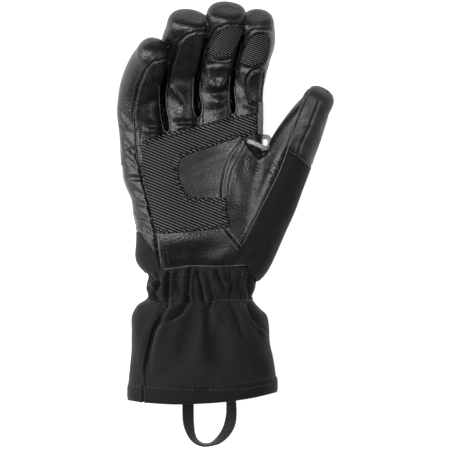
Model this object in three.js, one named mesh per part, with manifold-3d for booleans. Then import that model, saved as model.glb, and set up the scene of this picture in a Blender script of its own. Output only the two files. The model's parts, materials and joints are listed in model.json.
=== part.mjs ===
// Insulated ski glove for the right hand, lying on its back with the palm up.
// Millimetres, +Z up, fingers towards +Y, thumb towards +X.
// The origin is under the middle of the glove, on the surface that it lies on.
import * as THREE from 'three';
import { mergeVertices } from 'three/addons/utils/BufferGeometryUtils.js';
import Module from 'manifold-3d';

const wasm = await Module();
wasm.setup();

// Driving sizes of the glove.
const HAND_LENGTH = 201; // wrist seam to the tip of the middle finger
const HAND_WIDTH = 106; // across the knuckles, finger stalls side by side
const HAND_DEPTH = 44; // padded hand, from its back to the palm
const CUFF_LENGTH = 91; // wrist seam to the hem's edge
const CUFF_WIDTH = 107; // across the hem, lying down
const CUFF_DEPTH = 52; // height of the cuff, lying down
const FINGER_DEPTH = 31; // padded finger, from its back to its pad
const THUMB_DEPTH = 33; // padded thumb, from its back to its pad

// Walls and thin parts.
const HAND_WALL = 3.0; // leather with its insulation and lining
const CUFF_WALL = 2.4; // softshell with its lining
const HEM_WALL = 3.4; // softshell turned up and sewn down
const GRIP_THICKNESS = 1.0; // ribbed grip patches
const PAD_THICKNESS = 0.9; // plain sewn-on leather pieces
const BAND_THICKNESS = 1.2; // grey band beside the index finger
const LOOP_WIDTH = 8.4; // webbing of the pull loop
const LOOP_THICKNESS = 1.6;
const POLE_CORD_DIAMETER = 3.0; // cord loop that takes the pole strap

// Fits.
const SEAM_GAP = 0.3; // left between two panels at a seam
const SKIN_GAP = 0.3; // under a sewn-on patch

// Limits of the cutting forms: farther than the glove reaches, past an open end, and how close
// points are one.
const FAR = 3 * HAND_LENGTH;
const OVERRUN = 2;
const WELD = 1e-5;
const SHARPEST_CORNER = 0.5; // keeps a sharp corner of a grown outline short

// Where the hand's main lines lie.
const SIDE_SEAM_HEIGHT = 15; // seam between the palm panels and the back
const KNUCKLE_LEFT = 0.464; // share of HAND_LENGTH, at the little finger
const KNUCKLE_RIGHT = 0.573; // share of HAND_LENGTH, at the index finger
const KNUCKLE_SPAN = [-0.53, 0.479]; // shares of HAND_WIDTH

// How far the fingertips rise over the roots, and how late the bend comes.
const CURL_RISE = 34;
const CURL_POWER = 2.2;

// Finger stalls: height of the spine at the root, and depth at the root and at the tip, as shares
// of FINGER_DEPTH.
const FINGER_HEIGHT = 0.53;
const ROOT_DEPTH = 1.04;
const TIP_DEPTH = 0.84;

// How square the sections are: 2 is an ellipse, more is squarer.
const ROOT_SQUARENESS = 2.5;
const TIP_SQUARENESS = 2.2;
const SLEEVE_SQUARENESS = 2.3;

// Part of the hand's and the cuff's depth that the ground presses flat.
const PRESSED_SHARE = 0.08;

// The patches on two fingertips lie over these heights.
const MIDDLE_GRIP_HEIGHT = 44;
const INDEX_GRIP_HEIGHT = 33;

// Reach of the palm patch over the finger roots, and how much it climbs there.
const BRIDGE_REACH = 18;
const BRIDGE_RISE = 2;

// Facets round each form and steps along it.
const HAND_SIDES = 26;
const FINGER_SIDES = 14;
const WRIST_SIDES = 54;
const CUFF_SIDES = 40;
const TIP_RINGS = 2;
const TIP_BLUNTNESS = 0.6; // 1 is round, less is blunter

const LOOP_STEPS = 10;
const CORD_SIDES = 8;
const CORD_STEPS = 14;

// Pull loop: its drop below the hem, bend height, leg spacing, place (share of HAND_WIDTH) and the
// tail sewn inside the hem.
const LOOP_DROP = 31;
const LOOP_BEND = 17;
const LOOP_SPACING = 31.4;
const LOOP_CENTRE = 0.1;
const LOOP_TAIL = 9;

const LEFT = new THREE.Vector2(-1, 0);
const RIGHT = new THREE.Vector2(1, 0);
const UP = new THREE.Vector2(0, 1);
const DOWN = new THREE.Vector2(0, -1);

const across = (share) => share * HAND_WIDTH;
const along = (share) => share * HAND_LENGTH;

// Places in tables are shares: across of HAND_WIDTH from the hand's centre line, along of
// HAND_LENGTH from the wrist seam, towards the fingertips.
// Sections of the hand: its two sides, its top (share of HAND_DEPTH), its slant (0 to 1, as
// the knuckles run) and the squareness of its outline (2 is an ellipse).
const handSections = [
  { along: 0.044, left: -0.379, right: 0.489, top: 0.86, slant: 0, square: 2.3 },
  { along: 0.076, left: -0.403, right: 0.503, top: 0.93, slant: 0, square: 2.4 },
  { along: 0.127, left: -0.403, right: 0.5, top: 1.0, slant: 0, square: 2.5 },
  { along: 0.185, left: -0.403, right: 0.489, top: 1.0, slant: 0, square: 2.6 },
  { along: 0.243, left: -0.42, right: 0.482, top: 0.96, slant: 0.1, square: 2.8 },
  { along: 0.298, left: -0.433, right: 0.475, top: 0.91, slant: 0.25, square: 3.0 },
  { along: 0.4, left: -0.488, right: 0.475, top: 0.84, slant: 0.7, square: 3.4 },
  { along: 0.515, left: -0.5, right: 0.479, top: 0.77, slant: 1, square: 4.2 },
];

// Soft hollows and swellings of the palm: reach and rise in shares of HAND_WIDTH and HAND_DEPTH.
const palmForms = [
  { name: 'hollow', across: 0.08, along: 0.36, reach: 0.24, rise: -0.12 },
  { name: 'heel', across: -0.18, along: 0.16, reach: 0.2, rise: 0.05 },
  { name: 'knuckle_pad', across: -0.1, along: 0.5, reach: 0.22, rise: 0.04 },
];

// Sections of each finger stall, from the root to the middle of the rounded tip.
const fingerTables = {
  little: {
    rise: 1.0,
    rows: [
      { across: -0.355, along: 0.48, half: 0.155 },
      { across: -0.362, along: 0.54, half: 0.156 },
      { across: -0.375, along: 0.606, half: 0.158 },
      { across: -0.366, along: 0.679, half: 0.152 },
      { across: -0.335, along: 0.744, half: 0.142 },
      { across: -0.306, along: 0.785, half: 0.131 },
      { across: -0.291, along: 0.809, half: 0.114 },
    ],
  },
  ring: {
    rise: 0.9,
    rows: [
      { across: -0.09, along: 0.515, half: 0.126 },
      { across: -0.096, along: 0.584, half: 0.125 },
      { across: -0.1, along: 0.657, half: 0.125 },
      { across: -0.096, along: 0.722, half: 0.128 },
      { across: -0.084, along: 0.784, half: 0.142 },
      { across: -0.069, along: 0.838, half: 0.15 },
      { across: -0.045, along: 0.901, half: 0.141 },
    ],
  },
  middle: {
    rise: 1.0,
    rows: [
      { across: 0.152, along: 0.54, half: 0.124 },
      { across: 0.15, along: 0.613, half: 0.124 },
      { across: 0.145, along: 0.686, half: 0.125 },
      { across: 0.158, along: 0.758, half: 0.126 },
      { across: 0.187, along: 0.824, half: 0.13 },
      { across: 0.206, along: 0.874, half: 0.138 },
      { across: 0.219, along: 0.93, half: 0.14 },
    ],
  },
  index: {
    rise: 0.9,
    rows: [
      { across: 0.371, along: 0.565, half: 0.105 },
      { across: 0.37, along: 0.628, half: 0.105 },
      { across: 0.37, along: 0.693, half: 0.108 },
      { across: 0.388, along: 0.751, half: 0.113 },
      { across: 0.413, along: 0.802, half: 0.112 },
      { across: 0.438, along: 0.853, half: 0.119 },
      { across: 0.437, along: 0.902, half: 0.118 },
    ],
  },
};

// Sections of the thumb; height and depth are shares of THUMB_DEPTH.
const thumbSections = [
  { across: 0.345, along: 0.068, half: 0.188, height: 0.6, depth: 1.1 },
  { across: 0.42, along: 0.17, half: 0.2, height: 0.62, depth: 1.14 },
  { across: 0.517, along: 0.276, half: 0.19, height: 0.66, depth: 1.1 },
  { across: 0.61, along: 0.385, half: 0.18, height: 0.72, depth: 1.04 },
  { across: 0.7, along: 0.493, half: 0.161, height: 0.84, depth: 0.98 },
  { across: 0.78, along: 0.573, half: 0.139, height: 0.98, depth: 0.92 },
  { across: 0.836, along: 0.627, half: 0.112, height: 1.1, depth: 0.84 },
];

// Sections of the elastic wrist: sides in shares of HAND_WIDTH, heights in shares of HAND_DEPTH.
const wristSections = [
  { along: 0.041, left: -0.381, right: 0.487, bottom: -0.05, top: 0.86, ruffle: 0.1 },
  { along: 0.018, left: -0.325, right: 0.46, bottom: -0.03, top: 0.86, ruffle: 0.5 },
  { along: -0.03, left: -0.332, right: 0.408, bottom: 0.05, top: 0.86, ruffle: 1.0 },
  { along: -0.075, left: -0.322, right: 0.39, bottom: 0.03, top: 0.88, ruffle: 0.7 },
];
const RUFFLE_COUNT = 18; // gathers round the wrist
const RUFFLE_DEPTH = 1.5;

// Sections of the cuff: along from the wrist seam to the hem in shares of CUFF_LENGTH, sides in
// shares of CUFF_WIDTH, heights in shares of CUFF_DEPTH, folds in shares of FOLD_DEPTH.
const cuffSections = [
  { along: 0.175, left: -0.345, right: 0.385, bottom: 0.02, top: 0.76, fold: 0.8 },
  { along: 0.23, left: -0.402, right: 0.397, bottom: -0.03, top: 0.82, fold: 1.0 },
  { along: 0.32, left: -0.434, right: 0.475, bottom: -PRESSED_SHARE, top: 0.9, fold: 0.9 },
  { along: 0.56, left: -0.433, right: 0.515, bottom: -PRESSED_SHARE, top: 0.98, fold: 0.5 },
  { along: 0.78, left: -0.442, right: 0.545, bottom: -PRESSED_SHARE, top: 1.0, fold: 0.3 },
  { along: 0.873, left: -0.452, right: 0.557, bottom: -PRESSED_SHARE, top: 1.0, fold: 0.2 },
];
const hemSections = [
  { along: 0.876, left: -0.457, right: 0.563, bottom: -PRESSED_SHARE, top: 1.01, fold: 0.2 },
  { along: 0.94, left: -0.458, right: 0.566, bottom: -PRESSED_SHARE, top: 1.02, fold: 0.15 },
  { along: 1.0, left: -0.45, right: 0.562, bottom: -PRESSED_SHARE, top: 1.0, fold: 0.15 },
];
const HEM_SKEW = 0.032; // the hem runs up towards the thumb side
const HEM_BOW = 0.044; // share of CUFF_LENGTH by which its sides are drawn up

// Soft folds of the cuff: waves round it, their turn in radians and their share of FOLD_DEPTH.
const FOLD_DEPTH = 1.6;
const cuffFolds = [
  { waves: 5, turn: 0.6, share: 0.6 },
  { waves: 9, turn: 0, share: 0.4 },
];

// Plan outlines of panels and patches.
const ulnarSeam = [
  { across: -0.42, along: 0.6 },
  { across: -0.392, along: 0.44 },
  { across: -0.372, along: 0.41 },
  { across: -0.348, along: 0.345 },
  { across: -0.317, along: 0.283 },
  { across: -0.27, along: 0.171 },
  { across: -0.257, along: 0.116 },
  { across: -0.222, along: 0.04 },
  { across: -0.2, along: -0.02 },
];
const ulnarWedge = [
  { across: -0.6, along: 0.185 },
  { across: -0.372, along: 0.17 },
  { across: -0.32, along: 0.125 },
  { across: -0.255, along: 0.082 },
  { across: -0.2, along: 0.05 },
];
const gussetSeam = [
  { across: 0.46, along: 1.0 },
  { across: 0.46, along: 0.56 },
  { across: 0.335, along: 0.501 },
  { across: 0.255, along: 0.43 },
  { across: 0.213, along: 0.377 },
  { across: 0.19, along: 0.323 },
  { across: 0.2, along: 0.22 },
  { across: 0.225, along: 0.178 },
  { across: 0.31, along: 0.108 },
];
const thumbSeam = [
  { across: 0.86, along: 1.0 },
  { across: 0.82, along: 0.72 },
  { across: 0.785, along: 0.675 },
  { across: 0.744, along: 0.622 },
  { across: 0.682, along: 0.53 },
  { across: 0.606, along: 0.426 },
  { across: 0.508, along: 0.305 },
  { across: 0.353, along: 0.143 },
  { across: 0.31, along: 0.108 },
  { across: 0.285, along: 0.05 },
  { across: 0.27, along: -0.02 },
];
const thumbTipSeam = [
  { across: 0.1, along: 0.43 },
  { across: 0.6, along: 0.455 },
  { across: 0.66, along: 0.475 },
  { across: 0.714, along: 0.457 },
  { across: 0.771, along: 0.432 },
  { across: 0.86, along: 0.38 },
  { across: 1.1, along: 0.28 },
];
const palmPatch = [
  { across: -0.37, along: 0.489 },
  { across: -0.333, along: 0.505 },
  { across: -0.152, along: 0.53 },
  { across: 0.055, along: 0.559 },
  { across: 0.213, along: 0.581 },
  { across: 0.42, along: 0.599 },
  { across: 0.423, along: 0.525 },
  { across: 0.289, along: 0.512 },
  { across: 0.094, along: 0.476 },
  { across: -0.083, along: 0.441 },
  { across: -0.117, along: 0.406 },
  { across: -0.11, along: 0.363 },
  { across: -0.076, along: 0.323 },
  { across: -0.038, along: 0.294 },
  { across: 0.215, along: 0.296 },
  { across: 0.218, along: 0.239 },
  { across: 0.239, along: 0.188 },
  { across: 0.184, along: 0.183 },
  { across: -0.133, along: 0.167 },
  { across: -0.229, along: 0.163 },
  { across: -0.262, along: 0.18 },
  { across: -0.3, along: 0.27 },
  { across: -0.322, along: 0.327 },
  { across: -0.36, along: 0.42 },
];
const middleGrip = [
  { across: 0.328, along: 0.912 },
  { across: 0.237, along: 0.912 },
  { across: 0.172, along: 0.896 },
  { across: 0.117, along: 0.856 },
  { across: 0.09, along: 0.825 },
  { across: 0.149, along: 0.802 },
  { across: 0.244, along: 0.808 },
  { across: 0.28, along: 0.84 },
];
const indexGrip = [
  { across: 0.41, along: 0.883 },
  { across: 0.45, along: 0.887 },
  { across: 0.498, along: 0.882 },
  { across: 0.527, along: 0.872 },
  { across: 0.517, along: 0.835 },
  { across: 0.503, along: 0.791 },
  { across: 0.393, along: 0.77 },
  { across: 0.305, along: 0.784 },
  { across: 0.335, along: 0.831 },
];
const indexPad = [
  { across: 0.383, along: 0.746 },
  { across: 0.358, along: 0.726 },
  { across: 0.355, along: 0.707 },
  { across: 0.363, along: 0.68 },
  { across: 0.383, along: 0.642 },
  { across: 0.56, along: 0.64 },
  { across: 0.56, along: 0.775 },
  { across: 0.494, along: 0.765 },
];
const sideBand = [
  { across: 0.44, along: 0.522 },
  { across: 0.436, along: 0.634 },
  { across: 0.5, along: 0.634 },
  { across: 0.5, along: 0.522 },
];
const poleLoopRoute = [
  { across: 0.34, along: 0.503, height: 0.7 },
  { across: 0.39, along: 0.496, height: 0.84 },
  { across: 0.445, along: 0.483, height: 0.84 },
  { across: 0.492, along: 0.472, height: 0.78 },
  { across: 0.518, along: 0.48, height: 0.68 },
  { across: 0.522, along: 0.5, height: 0.6 },
  { across: 0.505, along: 0.513, height: 0.54 },
  { across: 0.475, along: 0.512, height: 0.5 },
  { across: 0.45, along: 0.505, height: 0.48 },
];
const cuffSeam = [
  { across: -0.15, along: -0.04 },
  { across: -0.18, along: -0.112 },
  { across: -0.234, along: -0.145 },
  { across: -0.278, along: -0.187 },
  { across: -0.313, along: -0.258 },
  { across: -0.338, along: -0.33 },
  { across: -0.331, along: -0.385 },
  { across: -0.35, along: -0.48 },
];

// Where the front panel of each finger starts: its tip seam in plan.
const tipSeams = {
  little: [
    { across: -0.393, along: 0.44 },
    { across: -0.396, along: 0.53 },
    { across: -0.413, along: 0.6 },
    { across: -0.381, along: 0.69 },
    { across: -0.33, along: 0.755 },
    { across: -0.269, along: 0.787 },
    { across: -0.17, along: 0.8 },
    { across: -0.17, along: 0.44 },
  ],
  ring: [
    { across: -0.175, along: 0.47 },
    { across: -0.172, along: 0.55 },
    { across: -0.197, along: 0.63 },
    { across: -0.186, along: 0.7 },
    { across: -0.158, along: 0.78 },
    { across: -0.117, along: 0.845 },
    { across: -0.048, along: 0.882 },
    { across: 0.034, along: 0.896 },
    { across: 0.12, along: 0.896 },
    { across: 0.06, along: 0.47 },
  ],
  middle: [
    { across: 0.055, along: 0.5 },
    { across: 0.055, along: 0.6 },
    { across: 0.034, along: 0.7 },
    { across: 0.055, along: 0.8 },
    { across: 0.1, along: 0.87 },
    { across: 0.165, along: 0.907 },
    { across: 0.24, along: 0.922 },
    { across: 0.37, along: 0.92 },
    { across: 0.33, along: 0.79 },
    { across: 0.26, along: 0.66 },
    { across: 0.25, along: 0.5 },
  ],
  index: [
    { across: 0.29, along: 0.53 },
    { across: 0.285, along: 0.64 },
    { across: 0.28, along: 0.72 },
    { across: 0.3, along: 0.8 },
    { across: 0.34, along: 0.87 },
    { across: 0.42, along: 0.905 },
    { across: 0.5, along: 0.905 },
    { across: 0.58, along: 0.88 },
    { across: 0.6, along: 0.53 },
  ],
};

/** Point of a plan table, in millimetres. */
function planPoint(row) {
  return new THREE.Vector2(across(row.across), along(row.along));
}

/** Line of the knuckles, where the finger stalls meet the hand. */
function knuckleLine(x) {
  const [left, right] = KNUCKLE_SPAN.map(across);
  const t = (x - left) / (right - left);
  return along(KNUCKLE_LEFT + (KNUCKLE_RIGHT - KNUCKLE_LEFT) * t);
}

/** Signed power, for superellipse sections. */
function power(value, exponent) {
  return Math.sign(value) * Math.abs(value) ** exponent;
}

/** Closed body through rings of equal length, with a flat or pointed end at each side. */
function loft(rings, startPoint, endPoint) {
  const count = rings[0].length;
  const positions = [];
  const index = [];
  rings.flat().forEach((p) => positions.push(p.x, p.y, p.z));
  for (let i = 0; i + 1 < rings.length; i += 1) {
    for (let j = 0; j < count; j += 1) {
      const k = (j + 1) % count;
      const a = i * count + j;
      const b = i * count + k;
      index.push(a, b, b + count, a, b + count, a + count);
    }
  }
  const addEnd = (first, centre, flip) => {
    const tip = positions.length / 3;
    positions.push(centre.x, centre.y, centre.z);
    for (let j = 0; j < count; j += 1) {
      const a = first + j;
      const b = first + ((j + 1) % count);
      index.push(...(flip ? [b, a, tip] : [a, b, tip]));
    }
  };
  addEnd(0, startPoint ?? middleOf(rings[0]), true);
  addEnd((rings.length - 1) * count, endPoint ?? middleOf(rings.at(-1)), false);
  const geometry = new THREE.BufferGeometry();
  geometry.setAttribute('position', new THREE.Float32BufferAttribute(positions, 3));
  geometry.setIndex(index);
  return toSolid(geometry);
}

/** Middle of a ring of points. */
function middleOf(ring) {
  const sum = ring.reduce((total, p) => total.add(p), new THREE.Vector3());
  return sum.divideScalar(ring.length);
}

/** Boolean solid from a closed geometry, turned the right way out. */
function toSolid(geometry) {
  geometry.deleteAttribute('normal');
  geometry.deleteAttribute('uv');
  const merged = mergeVertices(geometry, WELD);
  const vertProperties = new Float32Array(merged.attributes.position.array);
  let triVerts = new Uint32Array(merged.index.array);
  if (signedVolume(vertProperties, triVerts) < 0) {
    triVerts = triVerts.map((_, i, all) => all[i - (i % 3) + (2 - (i % 3))]);
  }
  return new wasm.Manifold(new wasm.Mesh({ numProp: 3, vertProperties, triVerts }));
}

/** Six times the signed volume of a triangle mesh. */
function signedVolume(points, triangles) {
  const corner = (i) => new THREE.Vector3().fromArray(points, triangles[i] * 3);
  let total = 0;
  for (let i = 0; i < triangles.length; i += 3) {
    total += corner(i).dot(corner(i + 1).cross(corner(i + 2)));
  }
  return total;
}

/** Geometry of a boolean solid. */
function toGeometry(solid) {
  const mesh = solid.getMesh();
  const geometry = new THREE.BufferGeometry();
  geometry.setAttribute('position', new THREE.Float32BufferAttribute(mesh.vertProperties, 3));
  geometry.setIndex(Array.from(mesh.triVerts));
  return geometry;
}

/** Outline grown outwards by a distance. */
function grown(outline, distance) {
  const turn = THREE.ShapeUtils.isClockWise(outline) ? -1 : 1;
  return outline.map((point, i) => {
    const before = outline.at(i - 1);
    const after = outline[(i + 1) % outline.length];
    const first = point.clone().sub(before).normalize();
    const second = after.clone().sub(point).normalize();
    const normal = new THREE.Vector2(first.y + second.y, -first.x - second.x).normalize();
    const stretch = Math.max(SHARPEST_CORNER, normal.dot(new THREE.Vector2(first.y, -first.x)));
    return point.clone().addScaledVector(normal, (turn * distance) / stretch);
  });
}

/** Upright prism over a plan outline. */
function prism(outline, low, high) {
  const geometry = new THREE.ExtrudeGeometry(new THREE.Shape(outline), {
    depth: high - low,
    bevelEnabled: false,
  });
  geometry.translate(0, 0, low);
  return toSolid(geometry);
}

/** Closed region on one side of an open seam: left, right, up or down in plan. */
function besideSeam(seam, side, distance) {
  const points = seam.map(planPoint);
  const far = side.clone().multiplyScalar(FAR);
  const outline = [...points, points.at(-1).clone().add(far), points[0].clone().add(far)];
  return grown(outline, distance);
}

/** Height that the palm's soft forms add at a point. */
function palmRise(x, y) {
  return palmForms.reduce((sum, form) => {
    const reach = form.reach * HAND_WIDTH;
    const distance = Math.hypot(x - across(form.across), y - along(form.along)) / reach;
    return sum + form.rise * HAND_DEPTH * Math.exp(-distance * distance);
  }, 0);
}

/** Ring of a section that stands across the hand, drawn in by inset and flat underneath. */
function crossRing(section, sides, inset) {
  const centre = (section.left + section.right) / 2;
  const halfWidth = (section.right - section.left) / 2 - inset;
  const height = (section.top + section.bottom) / 2;
  const halfHeight = (section.top - section.bottom) / 2 - inset;
  const exponent = 2 / section.squareness;
  return Array.from({ length: sides }, (_, i) => {
    const angle = (2 * Math.PI * i) / sides;
    const wave = section.wave ? section.wave(angle) : 0;
    const c = power(Math.cos(angle), exponent);
    const s = power(Math.sin(angle), exponent);
    const x = centre + (halfWidth + wave) * c;
    const lift = section.lift ? section.lift(x) * Math.max(0, s) : 0;
    const z = height + (halfHeight + wave) * s + lift;
    return new THREE.Vector3(x, section.y(x), Math.max(z, inset));
  });
}

/** Section of the hand between the wrist and the knuckles. */
function handSection(row) {
  return {
    left: across(row.left),
    right: across(row.right),
    bottom: -PRESSED_SHARE * HAND_DEPTH,
    top: row.top * HAND_DEPTH,
    squareness: row.square,
    y: (x) => {
      const line = knuckleLine(x) - knuckleLine(0);
      return along(row.along) + row.slant * line;
    },
    lift: (x) => palmRise(x, along(row.along)),
  };
}

/** Solid of the hand between the wrist and the knuckles; reach lengthens both its ends. */
function handBody(inset, reach = 0) {
  const rows = handSections.map((row) => crossRing(handSection(row), HAND_SIDES, inset));
  const start = rows[0].map((p) => p.clone().setY(p.y - reach));
  const end = rows.at(-1).map((p) => p.clone().setY(knuckleLine(p.x) - SEAM_GAP / 2 + reach));
  return loft([start, ...rows.slice(0, -1), end]);
}

/** Hand and thumb with the lowest stretch of the fingers bridged over, to carry the patch. */
function patchBed(distance) {
  const rows = handSections.map((row) => crossRing(handSection(row), HAND_SIDES, -distance));
  const end = rows.at(-1).map((p) => p.clone().setY(knuckleLine(p.x)));
  const bridge = end.map((p) => p.clone().add(new THREE.Vector3(0, BRIDGE_REACH, BRIDGE_RISE)));
  return loft([...rows.slice(0, -1), end, bridge]).add(thumbBody(-distance));
}

/** Rings round a spine, each square to it, and the rounded tip after the last one. */
function spineRings(stations, sides, inset) {
  const centres = stations.map((s) => s.centre);
  const rings = stations.map((station, i) => {
    const before = centres[Math.max(0, i - 1)];
    const after = centres[Math.min(centres.length - 1, i + 1)];
    const forward = after.clone().sub(before).normalize();
    return stationRing(station, forward, sides, inset, 1, 0);
  });
  const last = stations.at(-1);
  const forward = last.centre.clone().sub(stations.at(-2).centre).normalize();
  const round = last.halfDepth;
  for (let k = 1; k <= TIP_RINGS; k += 1) {
    const angle = (k / (TIP_RINGS + 1)) * (Math.PI / 2);
    const scale = Math.cos(angle) ** TIP_BLUNTNESS;
    const advance = (round - inset) * Math.sin(angle);
    rings.push(stationRing(last, forward, sides, inset, scale, advance));
  }
  const pole = last.centre.clone().addScaledVector(forward, round - inset);
  return { rings, pole };
}

/** One ring of a spine station. */
function stationRing(station, forward, sides, inset, scale, advance) {
  const side = new THREE.Vector3(forward.y, -forward.x, 0).normalize();
  const up = new THREE.Vector3().crossVectors(side, forward);
  const exponent = 2 / station.squareness;
  const width = (station.halfWidth - inset) * scale;
  const depth = (station.halfDepth - inset) * scale;
  return Array.from({ length: sides }, (_, i) => {
    const angle = (2 * Math.PI * i) / sides;
    return station.centre
      .clone()
      .addScaledVector(forward, advance)
      .addScaledVector(side, width * power(Math.cos(angle), exponent))
      .addScaledVector(up, depth * power(Math.sin(angle), exponent));
  });
}

/** Stations of a finger stall, rising towards its tip. */
function fingerStations(table) {
  const first = table.rows[0].along;
  const last = table.rows.at(-1).along;
  return table.rows.map((row) => {
    const t = (row.along - first) / (last - first);
    const height = FINGER_HEIGHT * FINGER_DEPTH + CURL_RISE * table.rise * t ** CURL_POWER;
    return {
      centre: new THREE.Vector3(across(row.across), along(row.along), height),
      halfWidth: across(row.half),
      halfDepth: (FINGER_DEPTH / 2) * THREE.MathUtils.lerp(ROOT_DEPTH, TIP_DEPTH, t),
      squareness: THREE.MathUtils.lerp(ROOT_SQUARENESS, TIP_SQUARENESS, t),
    };
  });
}

/** Solid of a finger stall; reach lengthens its root. */
function fingerBody(table, inset, reach = 0) {
  const { rings, pole } = spineRings(fingerStations(table), FINGER_SIDES, inset);
  rings[0] = rings[0].map((p) => {
    const y = knuckleLine(p.x) + SEAM_GAP / 2 - reach;
    return new THREE.Vector3(p.x, y, p.z);
  });
  return loft(rings, undefined, pole);
}

/** Solid of the thumb, down to its root in the hand. */
function thumbBody(inset) {
  const stations = thumbSections.map((row) => ({
    centre: new THREE.Vector3(across(row.across), along(row.along), row.height * THUMB_DEPTH),
    halfWidth: across(row.half),
    halfDepth: (row.depth * THUMB_DEPTH) / 2,
    squareness: TIP_SQUARENESS,
  }));
  const { rings, pole } = spineRings(stations, FINGER_SIDES, inset);
  return loft(rings, undefined, pole);
}

/** Level block between two heights. */
function layer(low, high) {
  const geometry = new THREE.BoxGeometry(2 * FAR, 2 * FAR, high - low);
  geometry.translate(0, 0, (low + high) / 2);
  return toSolid(geometry);
}

/** Block over everything on the fingers' side of a line across the hand. */
function beyondLine(y) {
  const geometry = new THREE.BoxGeometry(2 * FAR, FAR, 2 * FAR);
  geometry.translate(0, y + FAR / 2, 0);
  return toSolid(geometry);
}

/** Prism over the region on one side of a seam, grown past it by a distance. */
function regionBeside(seam, side, distance) {
  return prism(besideSeam(seam, side, distance), -FAR, FAR);
}

/** Outer form of a finger stall, pressed in where a neighbour lies against it. */
function pressedFinger(name) {
  const names = Object.keys(fingerTables);
  const neighbour = names[names.indexOf(name) + 1];
  const outer = fingerBody(fingerTables[name], 0);
  if (!neighbour) {
    return outer;
  }
  return outer.subtract(fingerBody(fingerTables[neighbour], -SEAM_GAP, OVERRUN));
}

/** Everything in front of a finger's side seams and its tip seam. */
function fingerFront(name, distance) {
  const outline = grown(tipSeams[name].map(planPoint), distance);
  const stations = fingerStations(fingerTables[name]);
  const profile = stations.map((s) => new THREE.Vector2(s.centre.y, s.centre.z - distance));
  const first = profile[0];
  const last = profile.at(-1);
  const shape = new THREE.Shape([
    new THREE.Vector2(first.x - HAND_WIDTH, first.y),
    ...profile,
    new THREE.Vector2(last.x + HAND_WIDTH, last.y),
    new THREE.Vector2(last.x + HAND_WIDTH, FAR),
    new THREE.Vector2(first.x - HAND_WIDTH, FAR),
  ]);
  const geometry = new THREE.ExtrudeGeometry(shape, { depth: 2 * HAND_WIDTH, bevelEnabled: false });
  const turn = new THREE.Matrix4().set(0, 0, 1, -HAND_WIDTH, 1, 0, 0, 0, 0, 1, 0, 0, 0, 0, 0, 1);
  geometry.applyMatrix4(turn);
  return prism(outline, -FAR, FAR).intersect(toSolid(geometry));
}

/** The whole hand, thumb and fingers, grown outwards by a distance. */
function skin(distance) {
  const hand = handBody(-distance, OVERRUN).add(thumbBody(-distance));
  return Object.values(fingerTables).reduce(
    (total, table) => total.add(fingerBody(table, -distance, OVERRUN)),
    hand,
  );
}

/** Grip patch across the palm, bridging the finger roots. */
function palmGrip() {
  const plate = patchBed(SKIN_GAP + GRIP_THICKNESS).subtract(patchBed(SKIN_GAP));
  const region = prism(palmPatch.map(planPoint), SIDE_SEAM_HEIGHT, FAR);
  return Object.values(fingerTables).reduce(
    (total, table) => total.subtract(fingerBody(table, -SKIN_GAP, OVERRUN)),
    region.intersect(plate),
  );
}

/** Flat piece sewn on the skin inside a plan outline, above a height. */
function sewnOn(outline, thickness, low) {
  const region = prism(outline.map(planPoint), low, FAR);
  return region.intersect(skin(SKIN_GAP + thickness)).subtract(skin(SKIN_GAP));
}

/** Section of the elastic wrist. */
function wristSection(row, y) {
  return {
    left: across(row.left),
    right: across(row.right),
    bottom: row.bottom * HAND_DEPTH,
    top: row.top * HAND_DEPTH,
    squareness: SLEEVE_SQUARENESS,
    y: () => y,
    wave: (angle) => RUFFLE_DEPTH * row.ruffle * Math.cos(RUFFLE_COUNT * angle),
  };
}

/** Height of the cuff's soft folds at an angle round it. */
function foldWave(angle) {
  return cuffFolds.reduce(
    (sum, fold) => sum + FOLD_DEPTH * fold.share * Math.cos(fold.waves * angle + fold.turn),
    0,
  );
}

/** Section of the cuff or its hem. */
function cuffSection(row) {
  const middle = ((row.left + row.right) / 2) * CUFF_WIDTH;
  const halfWidth = ((row.right - row.left) / 2) * CUFF_WIDTH;
  return {
    left: row.left * CUFF_WIDTH,
    right: row.right * CUFF_WIDTH,
    bottom: row.bottom * CUFF_DEPTH,
    top: row.top * CUFF_DEPTH,
    squareness: SLEEVE_SQUARENESS,
    y: (x) => {
      const share = (x - middle) / halfWidth;
      const draw = HEM_SKEW * (x - middle) + HEM_BOW * CUFF_LENGTH * share * share;
      return -row.along * CUFF_LENGTH + row.along * draw;
    },
    wave: (angle) => row.fold * foldWave(angle),
  };
}

/** Hollow sleeve through sections, open at both ends. */
function sleeve(sections, sides, wall) {
  const rings = (inset) => sections.map((section) => crossRing(section, sides, inset));
  const inner = rings(wall);
  const reach = new THREE.Vector3(0, OVERRUN, 0);
  const start = inner[0].map((p) => p.clone().add(reach));
  const end = inner.at(-1).map((p) => p.clone().sub(reach));
  return loft(rings(0)).subtract(loft([start, ...inner, end]));
}

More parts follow.
